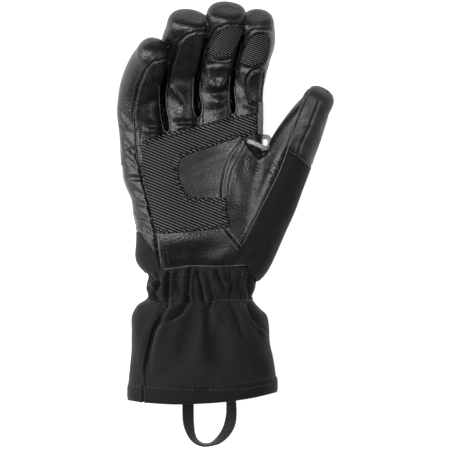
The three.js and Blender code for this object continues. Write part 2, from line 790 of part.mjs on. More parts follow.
/** Webbing loop: flat legs inside the hem, turned on edge round the bend. */
function pullLoop() {
  const edge = -CUFF_LENGTH;
  const bend = edge - LOOP_DROP + LOOP_BEND;
  const centre = across(LOOP_CENTRE);
  const radius = LOOP_SPACING / 2;
  const legs = [edge + LOOP_TAIL, edge, (edge + bend) / 2];
  const stations = legs.map((y) => ({
    x: centre - radius,
    y,
    turn: 0,
    forward: -Math.PI / 2,
  }));
  for (let k = 0; k <= LOOP_STEPS; k += 1) {
    const angle = Math.PI * (1 + k / LOOP_STEPS);
    stations.push({
      x: centre + radius * Math.cos(angle),
      y: bend + LOOP_BEND * Math.sin(angle),
      turn: (Math.PI / 2) * Math.sin((Math.PI * k) / LOOP_STEPS),
      forward: angle + Math.PI / 2,
    });
  }
  legs.reverse().forEach((y) => {
    stations.push({ x: centre + radius, y, turn: 0, forward: Math.PI / 2 });
  });
  const height = HEM_WALL + SKIN_GAP + LOOP_THICKNESS / 2;
  const rings = stations.map((s) => {
    const inPlane = new THREE.Vector3(Math.sin(s.forward), -Math.cos(s.forward), 0);
    const width = inPlane.clone().multiplyScalar(Math.cos(s.turn)).setZ(Math.sin(s.turn));
    const thick = inPlane.clone().multiplyScalar(-Math.sin(s.turn)).setZ(Math.cos(s.turn));
    const corners = [[1, 1], [-1, 1], [-1, -1], [1, -1]];
    return corners.map(([w, t]) =>
      new THREE.Vector3(s.x, s.y, height)
        .addScaledVector(width, (w * LOOP_WIDTH) / 2)
        .addScaledVector(thick, (t * LOOP_THICKNESS) / 2),
    );
  });
  return loft(rings);
}

/** Cord loop that comes out beside the index finger's root. */
function poleLoop() {
  const points = poleLoopRoute.map(
    (row) => new THREE.Vector3(across(row.across), along(row.along), row.height * HAND_DEPTH),
  );
  const curve = new THREE.CatmullRomCurve3(points);
  const circle = new THREE.Shape(
    Array.from({ length: CORD_SIDES }, (_, i) => {
      const angle = (2 * Math.PI * i) / CORD_SIDES;
      const radius = POLE_CORD_DIAMETER / 2;
      return new THREE.Vector2(radius * Math.cos(angle), radius * Math.sin(angle));
    }),
  );
  const geometry = new THREE.ExtrudeGeometry(circle, {
    steps: CORD_STEPS,
    extrudePath: curve,
    bevelEnabled: false,
  });
  return toSolid(geometry).subtract(skin(SKIN_GAP));
}

const glove = new THREE.Group();

/** Adds a named part of one material to the glove. */
function addPart(name, solid, material) {
  const mesh = new THREE.Mesh(toGeometry(solid), material);
  mesh.name = name;
  glove.add(mesh);
}

const leather = new THREE.MeshStandardMaterial({ color: '#222326', roughness: 0.42, metalness: 0 });
const softshell = new THREE.MeshStandardMaterial({ color: '#2a2b2e', roughness: 0.85, metalness: 0 });
const gripFabric = new THREE.MeshStandardMaterial({ color: '#4a4a4c', roughness: 0.7, metalness: 0 });
const webbing = new THREE.MeshStandardMaterial({ color: '#1e1f21', roughness: 0.8, metalness: 0 });
const greyCord = new THREE.MeshStandardMaterial({ color: '#b4b5b6', roughness: 0.6, metalness: 0 });

// The hand and thumb are one hollow form, cut into panels along its seams.
const wristLine = along(handSections[0].along);
const outerHand = handBody(0).add(thumbBody(0));
const innerHand = handBody(HAND_WALL, OVERRUN).add(thumbBody(HAND_WALL));
const handShell = outerHand
  .subtract(innerHand)
  .intersect(layer(0, FAR))
  .intersect(beyondLine(wristLine));

const front = handShell.intersect(layer(SIDE_SEAM_HEIGHT + SEAM_GAP / 2, FAR));
const back = handShell.intersect(layer(0, SIDE_SEAM_HEIGHT - SEAM_GAP / 2));
const palm = front
  .subtract(regionBeside(ulnarSeam, LEFT, SEAM_GAP / 2))
  .subtract(regionBeside(gussetSeam, RIGHT, SEAM_GAP / 2))
  .subtract(regionBeside(thumbSeam, RIGHT, SEAM_GAP / 2));
const ulnar = front.intersect(regionBeside(ulnarSeam, LEFT, -SEAM_GAP / 2));
const thumbFront = front
  .intersect(regionBeside(gussetSeam, RIGHT, -SEAM_GAP / 2))
  .subtract(regionBeside(thumbSeam, RIGHT, SEAM_GAP / 2));
const thumbOuter = front.intersect(regionBeside(thumbSeam, RIGHT, -SEAM_GAP / 2));

addPart('palm_leather', palm, leather);
addPart('back_leather', back, leather);
addPart('ulnar_strip', ulnar.intersect(regionBeside(ulnarWedge, UP, -SEAM_GAP / 2)), leather);
addPart(
  'ulnar_softshell',
  ulnar.intersect(regionBeside(ulnarWedge, DOWN, -SEAM_GAP / 2)),
  softshell,
);
addPart('thumb_leather', thumbFront, leather);
addPart(
  'thumb_back',
  thumbOuter.intersect(regionBeside(thumbTipSeam, DOWN, -SEAM_GAP / 2)),
  softshell,
);
addPart('thumb_tip', thumbOuter.intersect(regionBeside(thumbTipSeam, UP, -SEAM_GAP / 2)), leather);

Object.keys(fingerTables).forEach((name) => {
  const hollow = fingerBody(fingerTables[name], HAND_WALL, OVERRUN);
  const shell = pressedFinger(name).subtract(hollow);
  addPart(`${name}_finger`, shell.intersect(fingerFront(name, -SEAM_GAP / 2)), leather);
  addPart(`${name}_tip`, shell.subtract(fingerFront(name, SEAM_GAP / 2)), leather);
});

addPart('palm_patch', palmGrip(), gripFabric);
addPart('middle_grip', sewnOn(middleGrip, GRIP_THICKNESS, MIDDLE_GRIP_HEIGHT), gripFabric);
addPart('index_grip', sewnOn(indexGrip, GRIP_THICKNESS, INDEX_GRIP_HEIGHT), gripFabric);
addPart('index_pad', sewnOn(indexPad, PAD_THICKNESS, SIDE_SEAM_HEIGHT), leather);
addPart('side_band', sewnOn(sideBand, BAND_THICKNESS, SIDE_SEAM_HEIGHT), greyCord);
addPart('pole_loop', poleLoop(), greyCord);

const wristStart = wristLine - SEAM_GAP;
const wristRows = wristSections.map((row, i) =>
  wristSection(row, i === 0 ? wristStart : along(row.along)),
);
addPart('wrist_band', sleeve(wristRows, WRIST_SIDES, CUFF_WALL), softshell);

const cuffRows = cuffSections.map(cuffSection);
cuffRows[0].y = () => along(wristSections.at(-1).along) - SEAM_GAP;
const cuffShell = sleeve(cuffRows, CUFF_SIDES, CUFF_WALL);
const cuffFront = (distance) =>
  prism(besideSeam(cuffSeam, RIGHT, distance), SIDE_SEAM_HEIGHT - distance, FAR);
addPart('cuff_front', cuffShell.intersect(cuffFront(-SEAM_GAP / 2)), softshell);
addPart('cuff_back', cuffShell.subtract(cuffFront(SEAM_GAP / 2)), softshell);
addPart('cuff_hem', sleeve(hemSections.map(cuffSection), CUFF_SIDES, HEM_WALL), softshell);
addPart('pull_loop', pullLoop(), webbing);

// The origin goes under the middle of the glove.
const bounds = new THREE.Box3().setFromObject(glove);
const centre = bounds.getCenter(new THREE.Vector3());
glove.position.set(-centre.x, -centre.y, -bounds.min.z);

export default glove;
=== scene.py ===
"""Looks of an insulated right-hand ski glove that lies on its back with the palm up."""

import json
import logging
import math
from dataclasses import astuple, dataclass, field, replace
from enum import Enum

import bmesh
import bpy
import numpy as np
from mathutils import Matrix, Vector
from mathutils.bvhtree import BVHTree
from mathutils.kdtree import KDTree

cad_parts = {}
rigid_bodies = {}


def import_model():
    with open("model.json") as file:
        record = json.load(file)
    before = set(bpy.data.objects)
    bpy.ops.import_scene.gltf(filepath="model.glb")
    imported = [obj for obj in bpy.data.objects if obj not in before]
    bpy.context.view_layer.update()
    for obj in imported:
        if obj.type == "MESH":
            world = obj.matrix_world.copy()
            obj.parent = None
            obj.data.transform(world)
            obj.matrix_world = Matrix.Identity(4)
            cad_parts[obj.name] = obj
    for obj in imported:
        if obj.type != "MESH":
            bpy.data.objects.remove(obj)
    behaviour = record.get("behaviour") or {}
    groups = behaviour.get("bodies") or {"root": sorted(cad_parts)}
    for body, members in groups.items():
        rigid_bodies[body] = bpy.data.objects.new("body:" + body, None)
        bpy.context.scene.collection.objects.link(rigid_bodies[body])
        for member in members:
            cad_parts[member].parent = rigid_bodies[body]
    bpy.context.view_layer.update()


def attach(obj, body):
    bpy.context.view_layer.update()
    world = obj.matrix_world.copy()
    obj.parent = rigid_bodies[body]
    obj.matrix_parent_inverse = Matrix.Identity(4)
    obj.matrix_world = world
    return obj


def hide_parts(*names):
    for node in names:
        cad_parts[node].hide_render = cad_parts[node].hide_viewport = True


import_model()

MM = 0.001
PIXEL = 0.73 * MM  # one pixel of the photograph, on the glove
PHOTO_CENTRE = (224.6, 224.5)  # pixel over the frame's origin
GROUP_SHIFT = (-22.424 * MM, -39.174 * MM)  # from the wrist seam's middle to the origin
CUFF_LENGTH = 91 * MM
TIP_RINGS = 12  # rings that close a fingertip
NAP_ROUGHNESS = 0.22  # what a full nap adds to the leather's roughness
EVENED = 6  # steps that even out the heights of a line laid on a surface
SUNK = 0.2 * MM  # how far it may sink below the surface for that
ABOVE = 0.2  # height that rays start from, over the whole glove
WELD = 0.001 * MM  # points nearer than this are one
FAR_AWAY = 1e9
LIP_WIDTH = 0.8 * MM  # lip of leather beside a seam
LIP_PLACE = 2.0 * MM  # its middle, from the seam
MOST_CREASE = 0.5  # bounds of the crease number that the finishes read
DOWNWARD = -0.2  # a normal with less rise faces the surface that the glove lies on
PANEL_DARKENING = 0.3  # taken off the crease number to make whole panels darker
TOO_FEW = 0.05  # share of such faces that isn't worth thinning
ROOT = "root"
log = logging.getLogger("ski_glove")

Line = tuple[tuple[float, float], ...]  # points as pixel column and row


class Slot(Enum):
    """Material slots of the record."""

    LEATHER = "black_leather"
    SOFTSHELL = "softshell"
    GRIP = "grip_fabric"
    WEBBING = "webbing"
    CORD = "grey_cord"


def spot(px: float, py: float) -> tuple[float, float]:
    """Place on the glove's plan that a pixel of the photograph shows.

    Args:
        px: Pixel column.
        py: Pixel row, counted downwards.

    Returns:
        x and y in metres.
    """
    return (px - PHOTO_CENTRE[0]) * PIXEL, (PHOTO_CENTRE[1] - py) * PIXEL


def plan(points: Line | np.ndarray) -> np.ndarray:
    """Plan places of several pixels, one row each."""
    return np.array([spot(*p) for p in points])


def smoothstep(value: np.ndarray, low: float, high: float) -> np.ndarray:
    """Soft step from 0 at low to 1 at high."""
    t = np.clip((value - low) / (high - low), 0, 1)
    return t * t * (3 - 2 * t)


def catmull(rows: np.ndarray, steps: int) -> np.ndarray:
    """Smooth run of values through rows of values.

    Args:
        rows: Values, one row for each station.
        steps: Number of rows wanted.

    Returns:
        The rows of the smooth run.
    """
    ends = (2 * rows[:1] - rows[1:2], rows, 2 * rows[-1:] - rows[-2:-1])
    padded = np.concatenate(ends)
    t = np.linspace(0, len(rows) - 1, steps)
    i = np.minimum(t.astype(int), len(rows) - 2)
    f = (t - i).reshape((-1,) + (1,) * (rows.ndim - 1))
    a, b, c, d = (padded[i + k] for k in range(4))
    bend = 2 * a - 5 * b + 4 * c - d
    return 0.5 * (2 * b + (c - a) * f + bend * f**2 + (3 * b - a - 3 * c + d) * f**3)


def power(value: np.ndarray, exponent: float | np.ndarray) -> np.ndarray:
    """Signed power, for the rounded squares that padded sections have."""
    return np.sign(value) * np.abs(value) ** exponent


def segment_distance(
    xy: np.ndarray, start: np.ndarray, end: np.ndarray
) -> tuple[np.ndarray, np.ndarray]:
    """Plan distance of points to a short line.

    Args:
        xy: Points in plan.
        start: One end of the line.
        end: Its other end.

    Returns:
        The distances and the shares of the line's length where it is nearest.
    """
    run = end - start
    share = np.clip(((xy - start) @ run) / max(float(run @ run), 1e-12), 0, 1)
    return np.linalg.norm(xy - (start + share[:, None] * run), axis=1), share


def nearest_piece(
    xy: np.ndarray, line: np.ndarray
) -> tuple[np.ndarray, np.ndarray, np.ndarray]:
    """Finds the piece of a line through several points that is nearest to each place.

    Args:
        xy: Places in plan.
        line: Points of the line in plan.

    Returns:
        The distance, the number of the nearest piece and the share along it.
    """
    best = np.full(len(xy), FAR_AWAY)
    piece = np.zeros(len(xy), int)
    share = np.zeros(len(xy))
    for k, (start, end) in enumerate(zip(line[:-1], line[1:])):
        far, part = segment_distance(xy, start, end)
        closer = far < best
        best[closer] = far[closer]
        piece[closer] = k
        share[closer] = part[closer]
    return best, piece, share


def bell(far: np.ndarray, width: float | np.ndarray, centre: float | np.ndarray = 0) -> np.ndarray:
    """Soft bump of height 1 at a distance, for grooves, lips and folds."""
    return np.exp(-(((far - centre) / width) ** 2))


def inside(xy: np.ndarray, outline: np.ndarray) -> np.ndarray:
    """Which points lie inside a closed plan outline.

    Args:
        xy: Places in plan.
        outline: Corners of the outline in plan.

    Returns:
        Mask of the places.
    """
    found = np.zeros(len(xy), bool)
    for (x1, y1), (x2, y2) in zip(outline, np.roll(outline, -1, axis=0)):
        crosses = (y1 > xy[:, 1]) != (y2 > xy[:, 1])
        x = x1 + (xy[:, 1] - y1) * (x2 - x1) / (y2 - y1 + 1e-15)
        found ^= crosses & (xy[:, 0] < x)
    return found


def soft_noise(points: np.ndarray, size: float, seed: int, waves: int = 14) -> np.ndarray:
    """Smooth seeded unevenness between about -1 and 1.

    Args:
        points: Places, one row each.
        size: Size of one swelling in metres.
        seed: Start of the seeded run of numbers.
        waves: Number of waves that are added up.

    Returns:
        The unevenness at each place.
    """
    rng = np.random.default_rng(seed)
    total = np.zeros(len(points))
    for _ in range(waves):
        way = rng.normal(size=points.shape[1])
        way *= rng.uniform(0.6, 1.5) * 2 * math.pi / (size * 2 * np.linalg.norm(way))
        total += np.sin(points @ way + rng.uniform(0, 2 * math.pi))
    return total / math.sqrt(waves)


def unit(ways: np.ndarray) -> np.ndarray:
    """Directions of length 1, one row each."""
    return ways / np.linalg.norm(ways, axis=1)[:, None]


def frames(way: np.ndarray) -> tuple[np.ndarray, np.ndarray, np.ndarray]:
    """Directions ahead, to the side and over it, at each point of a way.

    Args:
        way: Points of the way, one row each.

    Returns:
        The three directions, one row for each point.
    """
    ahead = unit(np.gradient(way, axis=0))
    side = unit(np.cross(ahead, [0, 0, 1.0]))
    return ahead, side, np.cross(side, ahead)


def drop(ground: BVHTree, x: float, y: float) -> Vector | None:
    """Where a plumb line from above meets a surface."""
    return ground.ray_cast(Vector((x, y, ABOVE)), Vector((0, 0, -1)))[0]


def bm_object(name: str, bm: bmesh.types.BMesh) -> bpy.types.Object:
    """Object that holds a bmesh, which is freed.

    Args:
        name: Name of the object and its mesh.
        bm: The bmesh.

    Returns:
        The object.
    """
    mesh = bpy.data.meshes.new(name)
    bm.to_mesh(mesh)
    bm.free()
    obj = bpy.data.objects.new(name, mesh)
    bpy.context.scene.collection.objects.link(obj)
    return obj


def applied(obj: bpy.types.Object) -> bpy.types.Object:
    """The object with its modifiers made part of its mesh.

    Args:
        obj: The object.

    Returns:
        The same object.
    """
    depsgraph = bpy.context.evaluated_depsgraph_get()
    depsgraph.update()
    mesh = bpy.data.meshes.new_from_object(obj.evaluated_get(depsgraph))
    old = obj.data
    obj.modifiers.clear()
    obj.data = mesh
    bpy.data.meshes.remove(old)
    return obj


def walled(obj: bpy.types.Object, thickness: float) -> bpy.types.Object:
    """The object with a wall of some thickness, inwards from its surface.

    Args:
        obj: The object.
        thickness: Thickness of the wall.

    Returns:
        The same object.
    """
    shell = obj.modifiers.new("wall", "SOLIDIFY")
    shell.thickness = thickness
    shell.offset = -1
    return applied(obj)


def dress(
    obj: bpy.types.Object, material: bpy.types.Material, nodes: tuple[str, ...]
) -> bpy.types.Object:
    """Gives a finished piece its material and its place in the frame.

    Args:
        obj: The piece.
        material: Its material.
        nodes: CAD nodes that it stands for.

    Returns:
        The same piece.
    """
    obj.data.materials.clear()
    obj.data.materials.append(material)
    obj.data.polygons.foreach_set("use_smooth", [True] * len(obj.data.polygons))
    if nodes:
        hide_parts(*nodes)
    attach(obj, ROOT)
    log.info("%s: %d faces", obj.name, len(obj.data.polygons))
    return obj


def paint(obj: bpy.types.Object, name: str, values: np.ndarray) -> None:
    """Stores one number for each vertex, for the material to read."""
    layer = obj.data.attributes.new(name, "FLOAT", "POINT")
    layer.data.foreach_set("value", values.astype(np.float32))


def vertex_array(mesh: bpy.types.Mesh) -> np.ndarray:
    """Places of a mesh's vertices, one row each.

    Args:
        mesh: The mesh.

    Returns:
        Its vertices' places.
    """
    co = np.empty(len(mesh.vertices) * 3, np.float32)
    mesh.vertices.foreach_get("co", co)
    return co.reshape(-1, 3).astype(float)


def lofted(name: str, rings: np.ndarray, closed: bool) -> bpy.types.Object:
    """Tube through rings of points, from a grid that is rolled up.

    Args:
        name: Name of the object.
        rings: Points as ring, place in the ring, coordinate.
        closed: True to close both ends.

    Returns:
        The tube.
    """
    rows, around, _ = rings.shape
    bm = bmesh.new()
    bmesh.ops.create_grid(bm, x_segments=around, y_segments=rows - 1, size=1.0)
    for v in bm.verts:
        i = round((v.co.x + 1) / 2 * around) % around
        j = round((v.co.y + 1) / 2 * (rows - 1))
        v.co = rings[j, i]
    bmesh.ops.remove_doubles(bm, verts=bm.verts, dist=WELD)
    if closed:
        rim = [e for e in bm.edges if e.is_boundary]
        bmesh.ops.holes_fill(bm, edges=rim, sides=0)
    bmesh.ops.recalc_face_normals(bm, faces=bm.faces)
    return bm_object(name, bm)


def swept(
    name: str, way: np.ndarray, side: np.ndarray, over: np.ndarray, section: np.ndarray
) -> bpy.types.Object:
    """Closed tube along a way.

    Args:
        name: Name of the object.
        way: Its points, one row each.
        side: Direction of the section's first measure at each point.
        over: Direction of its second measure.
        section: Section as point of the way, place round it, measure.

    Returns:
        The tube.
    """
    reach = section[..., :1] * side[:, None] + section[..., 1:] * over[:, None]
    return lofted(name, way[:, None] + reach, True)


def superellipse(count: int, squareness: float) -> np.ndarray:
    """Points round a rounded square of half-size 1, one row each.

    Args:
        count: Number of points.
        squareness: 2 for a circle, more for a squarer one.

    Returns:
        The points.
    """
    angle = np.linspace(0, 2 * math.pi, count, endpoint=False)
    exponent = 2 / squareness
    return np.stack([power(np.cos(angle), exponent), power(np.sin(angle), exponent)], axis=1)


def linear(code: str) -> tuple[float, float, float, float]:
    """Linear colour of an sRGB hex value.

    Args:
        code: Colour as a # and six hex digits.

    Returns:
        Red, green, blue and alpha.
    """
    parts = [int(code[i : i + 2], 16) / 255 for i in (1, 3, 5)]
    channels = [c / 12.92 if c <= 0.04045 else ((c + 0.055) / 1.055) ** 2.4 for c in parts]
    return channels[0], channels[1], channels[2], 1.0


def add(
    tree: bpy.types.NodeTree,
    kind: str,
    settings: dict[str, object] | None = None,
    values: dict[str | int, object] | None = None,
    links: dict[str | int, bpy.types.NodeSocket] | None = None,
) -> bpy.types.Node:
    """Adds a node with its settings, values and links.

    Args:
        tree: Node tree of a material.
        kind: Type of the node.
        settings: Properties of the node by name.
        values: Values of input sockets by name or number.
        links: Output sockets to link to inputs by name or number.

    Returns:
        The node.
    """
    node = tree.nodes.new(kind)
    for key, value in (settings or {}).items():
        setattr(node, key, value)
    for key, value in (values or {}).items():
        node.inputs[key].default_value = value
    for key, source in (links or {}).items():
        tree.links.new(source, node.inputs[key])
    return node


def bare_material(name: str) -> tuple[bpy.types.Material, bpy.types.NodeTree]:
    """A new material and its emptied node tree.

    Args:
        name: Name of the material.

    Returns:
        The material and its tree.
    """
    material = bpy.data.materials.new(name)
    material.use_nodes = True
    material.node_tree.nodes.clear()
    return material, material.node_tree


def number(tree: bpy.types.NodeTree, name: str) -> bpy.types.NodeSocket:
    """Output of the number that paint() stored under a name."""
    return add(tree, "ShaderNodeAttribute", {"attribute_name": name}).outputs["Fac"]


def blended(
    tree: bpy.types.NodeTree, dark: str, light: str, factor: bpy.types.NodeSocket
) -> bpy.types.NodeSocket:
    """Output of a colour between two hex values.

    Args:
        tree: Node tree of the material.
        dark: Hex colour at 0.
        light: Hex colour at 1.
        factor: Output that blends them.

    Returns:
        The output.
    """
    mix = add(tree, "ShaderNodeMix", {"data_type": "RGBA"}, {}, {"Factor": factor})
    mix.inputs[6].default_value = linear(dark)
    mix.inputs[7].default_value = linear(light)
    return mix.outputs[2]


def ranged(
    tree: bpy.types.NodeTree,
    source: bpy.types.NodeSocket,
    low: float,
    high: float,
    to: tuple[float, float],
    clamp: bool = True,
) -> bpy.types.NodeSocket:
    """Output of a value that is moved from one range to another."""
    values = {"From Min": low, "From Max": high, "To Min": to[0], "To Max": to[1]}
    return add(tree, "ShaderNodeMapRange", {"clamp": clamp}, values, {"Value": source}).outputs[0]


def shaded(
    tree: bpy.types.NodeTree,
    values: dict[str | int, object],
    links: dict[str | int, bpy.types.NodeSocket],
) -> None:
    """Ends a tree in its shader and its output."""
    shader = add(tree, "ShaderNodeBsdfPrincipled", {}, values, links)
    add(tree, "ShaderNodeOutputMaterial", {}, {}, {"Surface": shader.outputs[0]})


@dataclass(frozen=True)
class Finish:
    """A finish with a grain that is worked out from a real size.

    The mottle is a soft unevenness of colour. The crease number darkens grooves,
    slots, folds and rims as painted shade, lightens lips as painted highlight and darkens some
    panels.
    The matt number takes shine away where the skin is napped, and flecks vary the shine from
    pore to pore. The grain, its height and the mottle are in metres.
    """

    name: str
    dark: str
    light: str
    roughness: float
    rough_spread: float
    grain: float
    grain_height: float
    mottle: float
    sheen: float = 0.0
    specular: float = 0.5
    fleck: float = 0.0
    stretch: tuple[float, float, float] = (1.0, 1.0, 1.0)

    def build(self) -> bpy.types.Material:
        """Makes the material from its fields.

        Returns:
            The material.
        """
        material, tree = bare_material(self.name)
        place = add(tree, "ShaderNodeTexCoord").outputs["Object"]
        spread = add(tree, "ShaderNodeMapping", {}, {"Scale": self.stretch}, {"Vector": place})
        where = {"Vector": spread.outputs[0]}
        cells = add(
            tree,
            "ShaderNodeTexVoronoi",
            {"feature": "SMOOTH_F1"},
            {"Scale": 1 / self.grain, "Smoothness": 0.6, "Randomness": 1.0},
            where,
        )
        mottle = {"Scale": 1 / self.mottle, "Detail": 4.0, "Roughness": 0.6}
        clouds = add(tree, "ShaderNodeTexNoise", {}, mottle, where).outputs["Fac"]
        pores = {"Scale": 0.8 / self.grain, "Detail": 2.0, "Roughness": 0.7}
        flecks = add(tree, "ShaderNodeTexNoise", {}, pores, where).outputs["Fac"]
        # Colour factor: mottle plus crease, which is painted shade in grooves, slots and folds and
        # painted highlight on lips
        mottle_and_painted_light = add(
            tree,
            "ShaderNodeMath",
            {"operation": "ADD", "use_clamp": True},
            {},
            {0: ranged(tree, clouds, 0.3, 0.75, (0.0, 0.55)), 1: number(tree, "crease")},
        )
        low, high = self.roughness - self.rough_spread, self.roughness + self.rough_spread
        pored = add(
            tree,
            "ShaderNodeMath",
            {"operation": "ADD"},
            {},
            {
                0: ranged(tree, flecks, 0.35, 0.65, (-self.fleck, self.fleck), clamp=False),
                1: ranged(tree, clouds, 0.3, 0.7, (low, high)),
            },
        )
        rougher = add(
            tree,
            "ShaderNodeMath",
            {"operation": "MULTIPLY_ADD", "use_clamp": True},
            {1: NAP_ROUGHNESS},
            {0: number(tree, "matt"), 2: pored.outputs[0]},
        )
        height = add(
            tree,
            "ShaderNodeMath",
            {"operation": "MULTIPLY_ADD"},
            {1: 0.5},
            {0: clouds, 2: cells.outputs["Distance"]},
        )
        relief = {"Strength": 1.0, "Distance": self.grain_height}
        bump = add(tree, "ShaderNodeBump", {}, relief, {"Height": height.outputs[0]})
        shaded(
            tree,
            {
                "Sheen Weight": self.sheen,
                "Sheen Roughness": 0.5,
                "Specular IOR Level": self.specular,
            },
            {
                "Base Color": blended(tree, self.dark, self.light, mottle_and_painted_light.outputs[0]),
                "Roughness": rougher.outputs[0],
                "Normal": bump.outputs[0],
            },
        )
        return material


# Drum-dyed goat leather with a thin finish coat: a grained skin with broad soft shine.
GOAT_LEATHER = Finish(
    "goat_leather_full_grain", "#08090a", "#161719", 0.36, 0.05, 1.2 * MM, 0.2 * MM, 7 * MM,
    fleck=0.08,
)
# The same leather turned over a seam or cut, coloured much lighter: painted highlight along the
# raised edge.
LIT_LEATHER_EDGE = Finish(
    "goat_leather_turned_edge_lit", "#2c2d2f", "#6e6f72", 0.36, 0.06, 0.9 * MM, 0.08 * MM, 3 * MM
)
# Napped grey lining felt that shows beside the index finger.
FELT = Finish(
    "grey_napped_felt", "#56585b", "#a2a4a6", 0.9, 0.04, 0.9 * MM, 0.5 * MM, 1.8 * MM, sheen=0.2
)
# Brushed-back woven polyester softshell: matt and even, with a faint bloom.
SOFTSHELL_CLOTH = Finish(
    "softshell_woven_polyester", "#08090a", "#1d1e1f", 0.8, 0.05, 0.8 * MM, 0.07 * MM, 5 * MM,
    sheen=0.08, specular=0.2,
)
# Woven polyamide tape of the pull loop.
TAPE = Finish(
    "webbing_woven_polyamide", "#0b0c0d", "#2e2f32", 0.7, 0.08, 1.1 * MM, 0.5 * MM, 1.6 * MM,
    sheen=0.1, specular=0.4, fleck=0.1, stretch=(1.0, 0.6, 1.0),
)
# Braided polyester cord, undyed grey.
BRAID = Finish(
    "braided_polyester_cord", "#6c6e70", "#c6c7c8", 0.6, 0.08, 0.9 * MM, 0.25 * MM, 2 * MM,
    sheen=0.1,
)
# Bonded polyester sewing thread.
THREAD = Finish(
    "bonded_sewing_thread", "#232426", "#5c5d60", 0.6, 0.05, 0.5 * MM, 0.03 * MM, 2 * MM
)
# The same thread in black, in the close bar tacks that hold the webbing.
BLACK_THREAD = Finish(
    "black_bonded_thread", "#020202", "#0d0d0e", 0.7, 0.05, 0.5 * MM, 0.03 * MM, 2 * MM,
    specular=0.2,
)


@dataclass(frozen=True)
class RibbedGrip:
    """Ribbed polyurethane grip fabric: shiny grey ribs on a black ground.

    The ribs fall to the right across the palm. Near a rim they break into short dashes.
    """

    name: str = "ribbed_grip_fabric"
    rib: str = "#626366"
    ground: str = "#020202"
    pitch: float = 1.97 * MM
    dash: float = 2.9 * MM
    height: float = 0.35 * MM
    row: float = 1.6 * MM  # one row of dashes
    dashed: tuple[float, float] = (3.4 * MM, 3.8 * MM)  # where the dashes fade out from a rim

    def build(self) -> bpy.types.Material:
        """Makes the material from its fields.

        Returns:
            The material.
        """
        material, tree = bare_material(self.name)
        colour = blended(tree, self.ground, self.rib, number(tree, "ribs"))
        shaded(tree, {"Roughness": 0.6, "Specular IOR Level": 0.04}, {"Base Color": colour})
        return material

    def pattern(self, xy: np.ndarray, rim: np.ndarray, slant: float, fine: float) -> np.ndarray:
        """Height of the ribs, from 0 to 1.

        Args:
            xy: Places in plan.
            rim: Distance of each place to the patch's dashed rim.
            slant: Angle of the ribs in degrees.
            fine: Share of the palm's pitch that the ribs have.

        Returns:
            The height at each place.
        """
        angle = math.radians(slant)
        over = xy[:, 1] * math.cos(angle) - xy[:, 0] * math.sin(angle)
        run = xy[:, 0] * math.cos(angle) + xy[:, 1] * math.sin(angle)
        wave = 0.5 + 0.5 * np.sin(2 * math.pi * over / (self.pitch * fine))
        ribs = smoothstep(wave, 0.66, 0.98)
        row = np.floor(rim / self.row)
        dashes = 0.5 + 0.5 * np.sin(2 * math.pi * (run / (self.dash * fine) + 0.5 * row))
        broken = smoothstep(wave, 0.5, 0.9) * smoothstep(dashes, 0.1, 0.45)
        near = 1 - smoothstep(rim, *self.dashed)
        return ribs * (1 - near) + broken * near


@dataclass(frozen=True)
class Station:
    """One section of a finger stall or of the thumb."""

    across: float
    along: float
    half: float
    height: float
    depth: float
    square: float


@dataclass(frozen=True)
class Stall:
    """A finger stall: its rise, and how square its tip is and how far it leans to the right.

    Its rows hold across, along and half width, as shares of the hand's sizes.
    """

    name: str
    rise: float
    blunt: float
    lean: float
    rows: tuple[tuple[float, float, float], ...]


